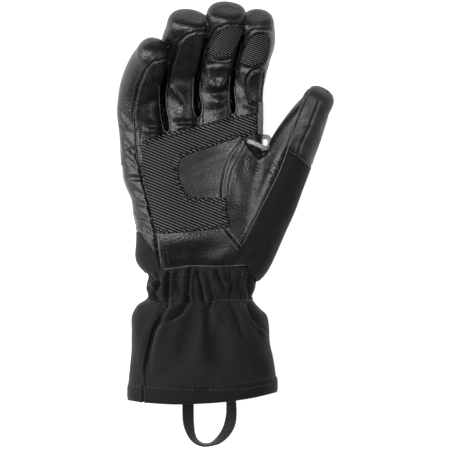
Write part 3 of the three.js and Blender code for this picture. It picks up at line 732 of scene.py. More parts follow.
@dataclass
class PaddedForm:
    """Sizes of the padded hand, as the CAD part has them."""

    length: float = 201 * MM
    width: float = 106 * MM
    depth: float = 44 * MM
    finger_depth: float = 31 * MM
    thumb_depth: float = 33 * MM
    shift: tuple[float, float] = GROUP_SHIFT
    knuckle: tuple[float, float] = (0.464, 0.573)
    knuckle_span: tuple[float, float] = (-0.53, 0.479)
    curl: float = 34 * MM
    curl_power: float = 2.2
    trim: float = 0.25 * MM
    low: float = -0.08  # lowest point of the hand's sections, before it is pressed flat
    overlap: float = 2 * MM  # how far the hand reaches into the finger stalls
    stall_height: float = 0.53  # middle of a stall's root, as a share of its depth
    stall_full: float = 1.04  # depth of its root
    stall_taper: float = 0.2  # depth that it loses on the way to its tip
    stall_square: tuple[float, float] = (2.5, 0.3)  # squareness of its root, loss to its tip
    stall_inside: tuple[float, float] = (0.07, 0.98)  # reach and width of its root in the hand
    hand_rows: tuple[tuple[float, ...], ...] = (
        # along, left, right, top, slant, squareness
        (-0.012, -0.322, 0.44, 0.84, 0, 2.3), (0.016, -0.335, 0.478, 0.85, 0, 2.3),
        (0.044, -0.379, 0.497, 0.86, 0, 2.3), (0.076, -0.403, 0.503, 0.93, 0, 2.4),
        (0.127, -0.403, 0.5, 1.0, 0, 2.5), (0.185, -0.403, 0.489, 1.0, 0, 2.6),
        (0.243, -0.42, 0.482, 0.96, 0.1, 2.8), (0.298, -0.433, 0.475, 0.91, 0.25, 3.0),
        (0.4, -0.488, 0.475, 0.84, 0.7, 3.4), (0.515, -0.5, 0.479, 0.77, 1, 4.2),
    )
    palm_forms: tuple[tuple[float, ...], ...] = (
        # across, along, reach, rise
        (0.08, 0.36, 0.24, -0.12), (-0.18, 0.16, 0.2, 0.05), (-0.1, 0.5, 0.22, 0.04),
    )
    fingers: tuple[Stall, ...] = (
        Stall(
            "little",
            rise=1.0,
            blunt=2.2,
            lean=0.0,
            rows=(
                (-0.355, 0.48, 0.155), (-0.362, 0.54, 0.156), (-0.375, 0.606, 0.158),
                (-0.366, 0.679, 0.152), (-0.335, 0.744, 0.142), (-0.306, 0.785, 0.131),
                (-0.291, 0.809, 0.114),
            ),
        ),
        Stall(
            "ring",
            rise=0.9,
            blunt=4.0,
            lean=0.6,
            rows=(
                (-0.09, 0.515, 0.126), (-0.096, 0.584, 0.125), (-0.1, 0.657, 0.125),
                (-0.096, 0.722, 0.128), (-0.087, 0.784, 0.148), (-0.076, 0.838, 0.163),
                (-0.048, 0.901, 0.148),
            ),
        ),
        Stall(
            "middle",
            rise=1.0,
            blunt=4.4,
            lean=0.3,
            rows=(
                (0.152, 0.54, 0.124), (0.15, 0.613, 0.124), (0.145, 0.686, 0.125),
                (0.158, 0.758, 0.126), (0.187, 0.824, 0.13), (0.206, 0.874, 0.138),
                (0.219, 0.93, 0.14),
            ),
        ),
        Stall(
            "index",
            rise=0.9,
            blunt=4.0,
            lean=0.1,
            rows=(
                (0.371, 0.565, 0.105), (0.37, 0.628, 0.105), (0.37, 0.693, 0.108),
                (0.388, 0.751, 0.113), (0.413, 0.802, 0.112), (0.438, 0.853, 0.119),
                (0.437, 0.902, 0.118),
            ),
        ),
    )
    thumb_rows: tuple[tuple[float, ...], ...] = (
        # across, along, half, height, depth
        (0.3, 0.035, 0.15, 0.58, 1.0), (0.345, 0.068, 0.184, 0.6, 1.1),
        (0.42, 0.17, 0.2, 0.62, 1.14), (0.517, 0.276, 0.19, 0.66, 1.1),
        (0.61, 0.385, 0.18, 0.72, 1.04), (0.7, 0.493, 0.161, 0.84, 0.98),
        (0.78, 0.573, 0.139, 0.98, 0.92), (0.836, 0.627, 0.112, 1.1, 0.84),
    )

    def x(self, across: float) -> float:
        """Place across the hand, in the frame."""
        return across * self.width + self.shift[0]

    def y(self, along: float) -> float:
        """Place along the hand, in the frame."""
        return along * self.length + self.shift[1]

    def knuckle_line(self, x: np.ndarray) -> np.ndarray:
        """Where the finger stalls meet the hand, for places across it.

        Args:
            x: Places across the hand.

        Returns:
            The line's place along the hand at each.
        """
        left, right = (self.x(s) for s in self.knuckle_span)
        t = (x - left) / (right - left)
        return self.y(0) + self.length * (
            self.knuckle[0] + (self.knuckle[1] - self.knuckle[0]) * t
        )

    def palm_rise(self, x: np.ndarray, along: float) -> np.ndarray:
        """Height that the palm's soft forms add.

        Args:
            x: Places across the hand.
            along: Place along it, as a share of its length.

        Returns:
            The height at each place.
        """
        total = np.zeros(len(x))
        for across, place, reach, rise in self.palm_forms:
            far = np.hypot(x - self.x(across), (along - place) * self.length)
            total += rise * self.depth * np.exp(-((far / (reach * self.width)) ** 2))
        return total

    def hand(self, sides: int = 220, steps: int = 150) -> np.ndarray:
        """Rings of the hand between the wrist and the knuckles.

        Args:
            sides: Points in each ring.
            steps: Number of rings.

        Returns:
            Points as ring, place in the ring, coordinate.
        """
        rings = []
        for along, left, right, top, slant, square in self.hand_rows:
            c, s = superellipse(sides, square).T
            half = (right - left) / 2 * self.width - self.trim
            x = self.x((left + right) / 2) + half * c
            low = self.low * self.depth
            tall = (top * self.depth - low) / 2 - self.trim
            lift = self.palm_rise(x, along) * np.maximum(0, s)
            z = (top * self.depth + low) / 2 + tall * s + lift
            bend = self.knuckle_line(x) - self.knuckle_line(np.array([self.x(0)]))
            rings.append(np.stack([x, self.y(along) + slant * bend, np.maximum(z, 0)], axis=1))
        rings[-1][:, 1] = self.knuckle_line(rings[-1][:, 0]) + self.overlap
        return catmull(np.array(rings), steps)

    def finger(self, stall: Stall) -> list[Station]:
        """Stations of a finger stall, from a little inside the hand to its tip.

        Args:
            stall: The finger stall.

        Returns:
            Its stations.
        """
        first, last = stall.rows[0][1], stall.rows[-1][1]
        square, loss = self.stall_square
        reach, narrower = self.stall_inside
        stations = []
        for across, along, half in stall.rows:
            t = (along - first) / (last - first)
            lift = self.curl * stall.rise * t**self.curl_power
            height = self.stall_height * self.finger_depth + lift
            depth = self.finger_depth * (self.stall_full - self.stall_taper * t)
            stations.append(Station(across, along, half, height, depth, square - loss * t))
        root = stations[0]
        inner = replace(root, along=root.along - reach, half=root.half * narrower)
        return [inner, *stations]

    def thumb(self) -> list[Station]:
        """Stations of the thumb, from its root in the hand to its tip.

        Returns:
            Its stations.
        """
        return [
            Station(a, b, half, tall * self.thumb_depth, deep * self.thumb_depth, 2.2)
            for a, b, half, tall, deep in self.thumb_rows
        ]

    def spine(
        self, stations: list[Station], sides: int, steps: int, blunt: float = 3.0, lean: float = 0.0
    ) -> np.ndarray:
        """Rings square to a line of stations, with a closed tip.

        Args:
            stations: Sections from the root to the tip.
            sides: Points in each ring.
            steps: Rings before the tip.
            blunt: How square the tip is, from 2 for a round one.
            lean: How far to the right the tip lies, as a share of its half width.

        Returns:
            Points as ring, place in the ring, coordinate.
        """
        across, along, half, height, depth, square = np.array([astuple(s) for s in stations]).T
        places = (self.x(across), self.y(along), height)
        run = catmull(np.stack([*places, half * self.width, depth / 2, square], axis=1), steps)
        ways = np.gradient(run[:, :3], axis=0)
        turns = [0.0] * steps
        scales = [1.0] * steps
        run, ways = list(run), list(ways)
        reach = run[-1][4] - self.trim
        for k in range(1, TIP_RINGS + 1):
            angle = k / TIP_RINGS * math.pi / 2
            run.append(run[steps - 1])
            ways.append(ways[steps - 1])
            turns.append(reach * math.sin(angle))
            scales.append(max(1 - math.sin(angle) ** blunt, 0.0) ** (1 / blunt))
        rings = []
        for row, way, turn, scale in zip(run, ways, turns, scales):
            way = way / np.linalg.norm(way)
            side = np.array([way[1], -way[0], 0])
            side /= np.linalg.norm(side)
            up = np.cross(side, way)
            c, s = superellipse(sides, row[5]).T
            wide = (row[3] - self.trim) * (scale * c + lean * (1 - scale))
            deep = (row[4] - self.trim) * scale * s
            rings.append(row[:3] + way * turn + wide[:, None] * side + deep[:, None] * up)
        return np.array(rings)


@dataclass(frozen=True)
class Crease:
    """A fold, dent or ridge of the leather, drawn as a line between two pixels.

    A positive depth is a dent and a negative one a ridge, in millimetres, as the width is.
    """

    x1: float
    y1: float
    x2: float
    y2: float
    width: float
    depth: float


@dataclass(frozen=True)
class Slit:
    """Narrow dark space between two fingers, down to its rounded end."""

    rows: tuple[tuple[float, float, float], ...]
    depth: float = 7.5


@dataclass
class LeatherHand:
    """The padded hand, thumb and fingers as one skin, cut into its panels."""

    form: PaddedForm = field(default_factory=PaddedForm)
    voxel: float = 0.7 * MM
    wall: float = 1.6 * MM
    smoothed: int = 8  # steps of smoothing after the parts are fused
    upper: tuple[float, float] = (15 * MM, 20 * MM)  # heights where the rounding off fades in
    slits: tuple[Slit, ...] = (
        # pixel column, pixel row, half width in pixels
        Slit(((168, 62, 1.8), (166, 72, 2.2), (164, 84, 2.7), (162.8, 95, 3.0), (163.2, 104, 3.2),
            (164.6, 115, 3.6), (166, 124, 3.3), (166.9, 129.4, 2.2))),
        Slit(((206, 40, 1.5), (203, 50, 1.8), (199.5, 66, 2.2), (197.3, 80, 2.7), (196.5, 90, 3.0),
            (197.2, 99, 3.5), (198.2, 108, 3.8), (198.2, 114, 2.2))),
        Slit(((243, 36, 1.3), (239, 48, 1.4), (235, 62, 1.6), (232.5, 78, 1.9), (231.8, 88, 2.2),
            (232.2, 96, 2.5), (233, 105, 2.9), (233.3, 111, 2.0))),
    )
    softened: tuple[tuple[Line, float, int], ...] = (
        # line, reach in pixels and times that the skin there is rounded off
        (((167, 137), (169, 143)), 7.0, 90), (((199, 120), (201.5, 130)), 7.5, 160),
        (((233, 117), (235, 122)), 6.0, 90),
        (((266, 158), (258, 172), (251, 188), (246, 205), (242, 225), (241, 246)), 10.0, 220),
        (((163, 150), (200, 140), (250, 122)), 14.0, 60),
    )
    sewn: tuple[tuple[Line, float, float], ...] = (
        # line of pixels, depth and width in millimetres
        (((327, 92), (319.6, 99), (315, 112), (308.6, 129), (301.6, 143), (298.2, 153)), 0.9, 0.9),
        (((266.6, 66.6), (251.4, 72), (246.8, 78), (245.9, 84), (246.8, 92), (249.9, 102.6),
            (256, 105)), 1.1, 0.9),
        (((240.2, 142), (230.6, 154.4), (224.4, 169), (221.6, 184), (220.8, 196)), 0.5, 0.6),
        (((245.5, 145.4), (238.6, 158), (232.4, 170), (229.4, 182), (227.8, 196)), 0.5, 0.6),
        (((247, 142), (253, 149.8), (259.5, 157), (265, 153)), 1.5, 1.1),
        (((225.6, 230.6), (232.8, 239.6), (240, 248.8)), 0.7, 0.6),
    )
    napped: tuple[tuple[float, float, float, float], ...] = (
        # pixel column and row, reach in pixels and how matt the leather is
        (206, 172, 36, 0.8), (245, 196, 30, 0.6), (320, 104, 26, 1.0), (304, 140, 26, 1.0),
        (222, 246, 24, 0.4),
    )
    mouth: Line = (
        (140, 273), (150, 273), (163, 269.6), (182, 267), (218, 266.4), (246, 265.4), (249.5, 268),
        (252.6, 274.6), (257.6, 281), (263, 283), (275, 284),
    )
    creases: tuple[Crease, ...] = (
        # little finger
        Crease(121, 108, 131, 124, 2.0, 0.8), Crease(119, 122, 128, 134, 2.2, 0.6),
        Crease(121, 134, 131, 150, 2.0, 0.7), Crease(141, 106, 158, 99, 2.6, 0.6),
        Crease(143, 122, 160, 128, 2.6, 0.8), Crease(146, 131, 161, 130, 1.8, -0.6),
        Crease(142, 87, 163, 80, 3.0, 0.5), Crease(147, 108, 153, 128, 4.0, -0.8),
        # ring finger
        Crease(173, 88, 182, 101, 1.6, -0.9), Crease(171, 96, 178, 108, 2.0, 0.7),
        Crease(178, 112, 188, 116, 4.0, -0.9), Crease(176, 122, 194, 123, 1.8, 0.9),
        Crease(176, 127, 193, 126, 1.6, -0.6), Crease(173, 78, 192, 80, 3.4, 0.9),
        Crease(172, 114, 176, 122, 1.6, -0.6),
        # middle finger
        Crease(210, 64, 231, 63, 1.8, 1.3), Crease(208, 70, 211, 80, 1.8, -0.6),
        Crease(209, 81, 217, 86.5, 3.0, -1.4), Crease(217, 86.5, 226, 81, 3.0, -1.4),
        Crease(225, 82, 227, 70, 1.8, -0.5), Crease(206, 94, 229, 93, 2.6, 1.1),
        Crease(217, 100, 220, 103, 2.4, -1.3), Crease(206, 112, 228, 109, 3.0, 0.9),
        # index finger
        Crease(238, 66, 256, 70, 2.0, 0.8), Crease(240, 92, 243, 104, 2.2, -0.6),
        Crease(238, 80, 241, 94, 2.2, 0.5), Crease(245, 104, 256, 110, 1.8, -0.7),
        # palm and little-finger side
        Crease(126, 142, 137, 158, 2.0, 0.8), Crease(127, 158, 140, 170, 1.8, 0.8),
        Crease(130, 178, 143, 179, 1.7, 1.2), Crease(130, 188, 143, 196, 1.8, 0.8),
        Crease(133, 200, 147, 206, 1.7, 0.9), Crease(136, 214, 149, 220, 1.7, 1.0),
        Crease(142, 226, 153, 234, 1.6, 0.9), Crease(188, 166, 232, 154, 4.4, 0.5),
        Crease(186, 178, 228, 160, 3.0, -0.5), Crease(196, 190, 222, 184, 3.0, 0.3),
        Crease(176, 252, 215, 246, 4.4, 0.5), Crease(218, 262, 236, 248, 4.0, -1.0),
        Crease(196, 262, 218, 240, 5.0, 0.8),
        # lower flap of the thumb's back
        Crease(253, 262, 262, 246, 4.0, 0.8),
        # thumb's rounded front and the hollow beside it
        Crease(289, 138, 277, 161, 3.2, -1.2), Crease(277, 161, 266, 186, 3.2, -1.2),
        Crease(266, 186, 258, 204, 3.4, -0.8), Crease(264, 158, 256, 184, 4.2, 1.0),
        Crease(256, 184, 247, 216, 4.5, 0.8), Crease(301, 118, 293, 134, 2.6, 0.7),
        Crease(286, 200, 296, 186, 5.0, 0.7), Crease(262, 250, 272, 232, 5.0, -0.7),
        Crease(256, 240, 262, 236, 3.6, 0.7),
        # thumb and its gusset
        Crease(236, 160, 240, 196, 3.4, -0.6), Crease(246, 152, 232, 214, 3.6, 0.5),
        Crease(273, 160, 281, 168, 1.4, 0.5), Crease(268, 168, 277, 176, 1.4, 0.5),
        Crease(262, 180, 272, 186, 1.4, 0.4), Crease(280, 146, 288, 154, 1.4, 0.4),
        Crease(303, 128, 312, 131, 2.0, 0.5), Crease(299, 140, 306, 146, 2.0, 0.5),
        Crease(268, 222, 282, 212, 3.4, 0.6), Crease(256, 246, 272, 236, 3.4, 0.6),
        Crease(248, 262, 264, 254, 3.0, 0.8),
    )

    def skin(self) -> bpy.types.Object:
        """One closed skin round the hand, the thumb and the fingers.

        Returns:
            The skin, before it is smoothed.
        """
        form = self.form
        parts = [lofted("hand", form.hand(), True)]
        parts.append(lofted("thumb", form.spine(form.thumb(), sides=110, steps=130), True))
        for stall in form.fingers:
            rings = form.spine(form.finger(stall), 96, 120, blunt=stall.blunt, lean=stall.lean)
            parts.append(lofted(stall.name, rings, True))
        bm = bmesh.new()
        for part in parts:
            bm.from_mesh(part.data)
            bpy.data.objects.remove(part)
        joined = bm_object("leather_skin", bm)
        remesh = joined.modifiers.new("remesh", "REMESH")
        remesh.mode = "VOXEL"
        remesh.voxel_size = self.voxel
        return applied(joined)


def triangles_of(names: list[str]) -> tuple[BVHTree, list[str]]:
    """Search tree over merged copies of CAD nodes, with the node of each face.

    Args:
        names: The nodes.

    Returns:
        The tree and the name of each face's node.
    """
    verts: list[Vector] = []
    faces: list[list[int]] = []
    owner: list[str] = []
    for name in names:
        bm = bmesh.new()
        bm.from_mesh(bpy.data.objects[name].data)
        bmesh.ops.remove_doubles(bm, verts=bm.verts, dist=WELD)
        base = len(verts)
        bm.verts.index_update()
        verts.extend(v.co.copy() for v in bm.verts)
        faces.extend([base + v.index for v in f.verts] for f in bm.faces)
        owner.extend([name] * len(bm.faces))
        bm.free()
    return BVHTree.FromPolygons(verts, faces), owner


@dataclass
class SkinField:
    """Arrays of a skin's vertices and edges, for sculpt-like moves."""

    obj: bpy.types.Object

    def __post_init__(self) -> None:
        """Reads the mesh's vertices and edges."""
        mesh = self.obj.data
        self.co = vertex_array(mesh)
        edges = np.empty(len(mesh.edges) * 2, np.int32)
        mesh.edges.foreach_get("vertices", edges)
        self.edges = edges.reshape(-1, 2)
        self.degree = np.bincount(self.edges.ravel(), minlength=len(self.co)).astype(float)

    def average(self, values: np.ndarray) -> np.ndarray:
        """Mean of each vertex's neighbours.

        Args:
            values: Values of the vertices, one row each.

        Returns:
            The means, one row each.
        """
        a, b = self.edges.T
        count = len(values)
        total = [np.bincount(a, c[b], count) + np.bincount(b, c[a], count) for c in values.T]
        return np.array(total).T / self.degree[:, None]

    def smooth(self, times: int) -> None:
        """Relaxes the skin without shrinking it much."""
        for step in (0.6, -0.61) * times:
            self.co += step * (self.average(self.co) - self.co)

    def relax(self, times: int, mask: np.ndarray) -> None:
        """Rounds off creases where the mask is over 0."""
        for _ in range(times):
            self.co += 0.6 * mask[:, None] * (self.average(self.co) - self.co)

    def normals(self) -> np.ndarray:
        """Outward normals of the vertices as they stand now.

        Returns:
            The normals, one row each.
        """
        self.store()
        out = np.empty(len(self.co) * 3, np.float32)
        self.obj.data.vertex_normals.foreach_get("vector", out)
        return out.reshape(-1, 3).astype(float)

    def store(self) -> None:
        """Writes the places back to the mesh."""
        self.obj.data.vertices.foreach_set("co", self.co.astype(np.float32).ravel())
        self.obj.data.update()


@dataclass(frozen=True)
class Seam:
    """How the skin is drawn in where two kinds of panel meet, in millimetres."""

    first: str
    second: str
    groove: float
    width: float
    lip: float


PANEL_NODES = (
    "palm_leather", "back_leather", "ulnar_strip", "ulnar_softshell", "thumb_leather", "thumb_back",
    "thumb_tip", "little_finger", "little_tip", "ring_finger", "ring_tip", "middle_finger",
    "middle_tip", "index_finger", "index_tip",
)
SEAMS = (
    Seam("finger", "tip", 0.75, 0.9, 0.35),
    Seam("palm_leather", "ulnar", 1.5, 1.5, 0.5),
    Seam("palm_leather", "thumb_leather", 0.45, 0.8, 0.3),
    Seam("thumb_leather", "thumb_back", 0.6, 0.8, 0.3),
    Seam("thumb_leather", "thumb_tip", 0.6, 0.8, 0.12),
    Seam("thumb_back", "thumb_tip", 0.7, 0.8, 0.15),
    Seam("ulnar_strip", "ulnar_softshell", 0.5, 0.8, 0.2),
    Seam("back_leather", "thumb", 0.6, 0.9, 0.2),
    Seam("back_leather", "ulnar", 0.6, 0.9, 0.2),
    Seam("back_leather", "palm_leather", 0.6, 0.9, 0.2),
)


def kind_matches(node: str, kind: str) -> bool:
    """Whether a node is of a kind that a seam names.

    Args:
        node: Name of the node.
        kind: Kind of panel, or how its name starts.

    Returns:
        True if it is.
    """
    if kind in ("finger", "tip"):
        return node.endswith("_" + kind) and not node.startswith("thumb")
    return node.startswith(kind)


class PanelMaker:
    """Draws seams into a skin and cuts it into panels by the nearest CAD node."""

    def __init__(self, obj: bpy.types.Object, nodes: tuple[str, ...]) -> None:
        """Labels each vertex with the nearest of its nodes.

        Args:
            obj: The skin.
            nodes: CAD nodes that it is cut into.
        """
        self.field = SkinField(obj)
        self.nodes = nodes
        self.crease = np.zeros(len(self.field.co))
        tree, owner = triangles_of(list(nodes))
        index = {name: k for k, name in enumerate(nodes)}
        self.labels = np.array(
            [index[owner[tree.find_nearest(Vector(p))[2]]] for p in self.field.co]
        )

    def seam_distance(self, first: str, second: str, own: bool) -> np.ndarray:
        """Distance of each vertex to the seams between two kinds of panel.

        Args:
            first: Kind of one panel.
            second: Kind of the other.
            own: True for seams within one finger only.

        Returns:
            The distance of each vertex.
        """
        ends = self.labels[self.field.edges]
        a, b = ends.T
        one, two = (
            np.array([kind_matches(n, kind) for n in self.nodes]) for kind in (first, second)
        )
        hit = ((one[a] & two[b]) | (one[b] & two[a])) & (a != b)
        if own:
            stems = np.array([n.split("_")[0] for n in self.nodes])
            hit &= stems[a] == stems[b]
        middle = self.field.co[self.field.edges[hit]].mean(axis=1)
        if not len(middle):
            return np.full(len(self.field.co), 1.0)
        tree = KDTree(len(middle))
        for k, p in enumerate(middle):
            tree.insert(p, k)
        tree.balance()
        return np.array([tree.find(p)[2] for p in self.field.co])

    def sew(self, seams: tuple[Seam, ...]) -> None:
        """Draws the skin in along its seams and raises a lip beside each.

        Args:
            seams: The seams.
        """
        normals = self.field.normals()
        move = np.zeros(len(self.field.co))
        for seam in seams:
            far = self.seam_distance(seam.first, seam.second, seam.first == "finger")
            far = self.field.average(self.field.average(far[:, None]))[:, 0]
            groove = bell(far, seam.width * MM)
            lip = bell(far, LIP_WIDTH, LIP_PLACE)
            move += (seam.lip * lip - seam.groove * groove) * MM
            # Painted shade in the seam's groove and painted highlight on its lip.
            self.crease += 0.5 * seam.lip * lip - 0.6 * groove * min(1.0, seam.groove)
        self.field.co += move[:, None] * normals

    def press(self, creases: tuple[Crease, ...]) -> None:
        """Presses folds, dents and ridges into the side that faces up.

        Args:
            creases: The folds, dents and ridges.
        """
        normals = self.field.normals()
        facing = smoothstep(normals[:, 2], 0.1, 0.5)
        xy = self.field.co[:, :2]
        move = np.zeros(len(xy))
        for c in creases:
            start, end = plan(((c.x1, c.y1), (c.x2, c.y2)))
            far, share = segment_distance(xy, start, end)
            ends = 0.35 + 0.65 * np.sin(np.clip(share, 0.02, 0.98) * math.pi)
            width = c.width * MM
            dent = bell(far, width) * ends
            rim = bell(far, 0.9 * width, 1.9 * width) * ends
            move += c.depth * MM * (0.35 * rim - dent)
        self.field.co += (move * facing)[:, None] * normals

    def slit(self, slits: tuple[Slit, ...]) -> None:
        """Sinks the narrow spaces between the fingers and rounds off their ends.

        Args:
            slits: The spaces.
        """
        xy = self.field.co[:, :2]
        up = smoothstep(self.field.normals()[:, 2], -0.2, 0.3)
        sink = np.zeros(len(xy))
        for one in slits:
            rows = np.array(one.rows)
            far, k, share = nearest_piece(xy, plan(rows[:, :2]))
            half = (rows[k, 2] + share * (rows[k + 1, 2] - rows[k, 2])) * PIXEL
            deep = 1 - smoothstep(far, 0.35 * half, 1.0 * half)
            lip = bell(far, 0.7 * MM, 1.35 * half)
            sink = np.maximum(sink, one.depth * MM * deep)
            sink -= 0.3 * MM * lip * (deep < 0.02)
            # Painted shade down in the slot and painted highlight on its lip.
            self.crease -= 0.5 * deep * up
            self.crease += 0.2 * lip * up
        self.field.co[:, 2] -= sink * up

    def swell(
        self, size: float, height: float, seed: int, stretch: tuple[float, float, float]
    ) -> None:
        """Adds soft seeded unevenness, as padding under leather has.

        Args:
            size: Size of one swelling.
            height: How far it stands out.
            seed: Start of the seeded run of numbers.
            stretch: Factors on the places, less than 1 for longer swellings.
        """
        places = self.field.co * np.array(stretch)
        uneven = soft_noise(places, size, seed)
        self.field.co += (uneven * height)[:, None] * self.field.normals()

    def settle(self) -> BVHTree:
        """Keeps the skin off the floor.

        Returns:
            Search tree of the skin, for what is sewn onto it.
        """
        self.field.co[:, 2] = np.maximum(self.field.co[:, 2], 0)
        self.field.store()
        return surface_tree(self.field.obj)

    def panels(
        self, wall: float, dropped: np.ndarray | None = None
    ) -> dict[str, bpy.types.Object]:
        """Cuts the skin into its panels and gives each its wall.

        Args:
            wall: Thickness of the wall, inwards.
            dropped: Mask of faces to leave out.

        Returns:
            The panel of each CAD node.
        """
        mesh = self.field.obj.data
        paint(self.field.obj, "crease", np.clip(self.crease, -MOST_CREASE, MOST_CREASE))
        made = {}
        face_label = np.array([self.labels[p.vertices[0]] for p in mesh.polygons])
        if dropped is not None:
            face_label[dropped] = -1
        for k, name in enumerate(self.nodes):
            bm = bmesh.new()
            bm.from_mesh(mesh)
            bm.faces.ensure_lookup_table()
            gone = [f for f, label in zip(bm.faces, face_label) if label != k]
            bmesh.ops.delete(bm, geom=gone, context="FACES")
            panel = bm_object(name + "_panel", bm)
            thin_below(panel)
            made[name] = walled(panel, wall)
        bpy.data.objects.remove(self.field.obj)
        return made


def thin_below(panel: bpy.types.Object, kept: float = 0.3) -> None:
    """Leaves fewer faces on the side that the glove lies on, and none less along the cuts.

    Args:
        panel: The panel, before it gets its wall.
        kept: Share of the faces that face down to keep.
    """
    bm = bmesh.new()
    bm.from_mesh(panel.data)
    bm.normal_update()
    low = [v.index for v in bm.verts if v.normal.z < DOWNWARD and not v.is_boundary]
    share = len(low) / len(bm.verts)
    bm.free()
    if share < TOO_FEW:
        return
    group = panel.vertex_groups.new(name="below")
    group.add(low, 1.0, "REPLACE")
    fewer = panel.modifiers.new("fewer_below", "DECIMATE")
    fewer.ratio = 1 - (1 - kept) * share
    fewer.vertex_group = group.name
    applied(panel)
    panel.vertex_groups.clear()


def surface_tree(obj: bpy.types.Object) -> BVHTree:
    """Search tree over an object's faces.

    Args:
        obj: The object.

    Returns:
        The tree.
    """
    bm = bmesh.new()
    bm.from_mesh(obj.data)
    tree = BVHTree.FromBMesh(bm)
    bm.free()
    return tree


def nearest_on(outline: np.ndarray, xy: np.ndarray) -> tuple[np.ndarray, np.ndarray]:
    """Nearest points of a closed outline and their distances.

    Args:
        outline: Corners of the outline.
        xy: Places in plan.

    Returns:
        The nearest points and the distances.
    """
    line = np.concatenate([outline, outline[:1]])
    far, k, share = nearest_piece(xy, line)
    return line[k] + share[:, None] * (line[k + 1] - line[k]), far


@dataclass
class SewnPatch:
    """A flat piece cut to a plan outline and laid on the glove."""

    node: str
    outline: Line
    thickness: float
    cell: float
    gap: float = 0.15 * MM
    settle: int = 30
    slant: float = -22.0
    fine: float = 1.0
    plain: bool = False
    rim_edges: tuple[int, int] = (0, 0)
    rounded: float = 0.9 * MM  # width of the rounded rim
    sag: float = 0.05 * MM  # how far a step of settling may lower the piece
    smoothed: int = 6  # steps that even it out at last

    def build(self, ground: BVHTree, grip: RibbedGrip) -> bpy.types.Object:
        """Cuts the patch from a grid, lays it down and gives it its ribs.

        Args:
            ground: Search tree of the surface that it lies on.
            grip: The ribbed fabric, for its pattern.

        Returns:
            The patch.
        """
        outline = plan(self.outline)
        low, high = outline.min(axis=0), outline.max(axis=0)
        count = np.ceil((high - low) / self.cell).astype(int)
        bm = bmesh.new()
        bmesh.ops.create_grid(bm, x_segments=int(count[0]), y_segments=int(count[1]), size=1.0)
        for v in bm.verts:
            v.co.x = low[0] + (v.co.x + 1) / 2 * (high[0] - low[0])
            v.co.y = low[1] + (v.co.y + 1) / 2 * (high[1] - low[1])
        centres = np.array([f.calc_center_median()[:2] for f in bm.faces])
        keep = inside(centres, outline)
        bmesh.ops.delete(bm, geom=[f for f, k in zip(bm.faces, keep) if not k], context="FACES")
        obj = bm_object(self.node + "_piece", bm)
        skin = SkinField(obj)
        near, far = nearest_on(outline, skin.co[:, :2])
        outer = (~inside(skin.co[:, :2], outline)) | (far < 0.3 * self.cell)
        skin.co[outer, :2] = near[outer]
        far[outer] = 0
        heights = np.full(len(skin.co), np.nan)
        for k, p in enumerate(skin.co):
            hit = drop(ground, p[0], p[1])
            if hit is not None:
                heights[k] = hit.z
        heights[np.isnan(heights)] = np.nanmedian(heights)
        top = heights.copy()
        for _ in range(self.settle):
            top = np.maximum(skin.average(top[:, None])[:, 0], top - self.sag)
        for _ in range(self.smoothed):
            top = skin.average(top[:, None])[:, 0]
        skin.co[:, 2] = np.maximum(top, heights) + self.gap + self.thickness
        edge = 1 - smoothstep(far, 0, self.rounded)
        skin.co[:, 2] -= 0.6 * self.thickness * edge**2
        # Painted shade on the rounded rim where it rolls down: through crease on plain pieces, by
        # dimmed ribs on ribbed ones.
        if self.plain:
            paint(obj, "crease", -0.3 * edge)
        else:
            rim = np.full(len(far), 1.0)
            first, last = self.rim_edges
            if last > first:
                rim = nearest_piece(skin.co[:, :2], outline[first : last + 1])[0]
            ribs = grip.pattern(skin.co[:, :2], rim, self.slant, self.fine)
            skin.co[:, 2] += (ribs - 0.5) * grip.height
            paint(obj, "ribs", ribs * (1 - 0.6 * edge))
        skin.store()
        return walled(obj, self.thickness)


PATCHES = (
    SewnPatch(
        "palm_patch",
        (
            (141.3, 144.3), (143.5, 141.2), (146.7, 139.3), (161.7, 134.6), (173, 131.5),
            (184.6, 128.4), (203, 124.2), (226, 118.2), (243, 114.5), (257, 113), (257.4, 134),
            (237, 138), (226, 142), (208.7, 147.7), (191.5, 153.5), (183, 157.5), (180, 160),
            (178, 167), (179, 179), (184, 190), (189.5, 197.8), (226.3, 197.6), (226.6, 213),
            (229.7, 227), (221.7, 228.7), (201.6, 230.4), (175.7, 233), (161.7, 234),
            (155.9, 232.6), (150, 209), (146.7, 189), (142, 166),
        ),
        thickness=1.0 * MM,
        cell=0.42 * MM,
        settle=60,
        rim_edges=(0, 28),
    ),
    SewnPatch(
        "middle_grip",
        (
            (242.6, 28), (236, 26.8), (229.4, 27.6), (220, 32), (212, 43), (207.5, 52.5),
            (211, 56), (216.7, 58.4), (230.5, 57), (235.7, 47.6), (242.6, 33),
        ),
        thickness=0.9 * MM,
        cell=0.3 * MM,
        slant=-33.0,
        fine=0.74,
        rim_edges=(5, 8),
    ),
    SewnPatch(
        "index_grip",
        (
            (254.6, 35.6), (260.4, 34.4), (265, 34.6), (270.5, 38.7), (269.5, 49), (267, 61.5),
            (252, 66.7), (244, 65.5), (239.3, 62.5), (243.7, 50), (249, 40.5),
        ),
        thickness=0.9 * MM,
        cell=0.3 * MM,
        slant=-20.0,
        fine=0.74,
        rim_edges=(5, 8),
    ),
    SewnPatch(
        "index_pad",
        (
            (250.6, 74.5), (247.4, 79), (246.8, 84), (247.7, 91.5), (250.8, 101.5), (262.2, 102),
            (263, 92), (264.4, 80), (265.6, 70.5),
        ),
        thickness=0.9 * MM,
        cell=0.5 * MM,
        plain=True,
    ),
    SewnPatch(
        "side_band",
        (
            (259, 101.5), (258.6, 112.8), (257.6, 113), (257.8, 134), (262.8, 135), (263.4, 118),
            (263.2, 101.5),
        ),
        thickness=1.2 * MM,
        cell=0.5 * MM,
        plain=True,
    ),
)


@dataclass(frozen=True)
class Fold:
    """A fold of the cloth along a line of pixels, a valley if its depth is positive.

    Width and depth are in millimetres.
    """

    line: Line
    width: float
    depth: float


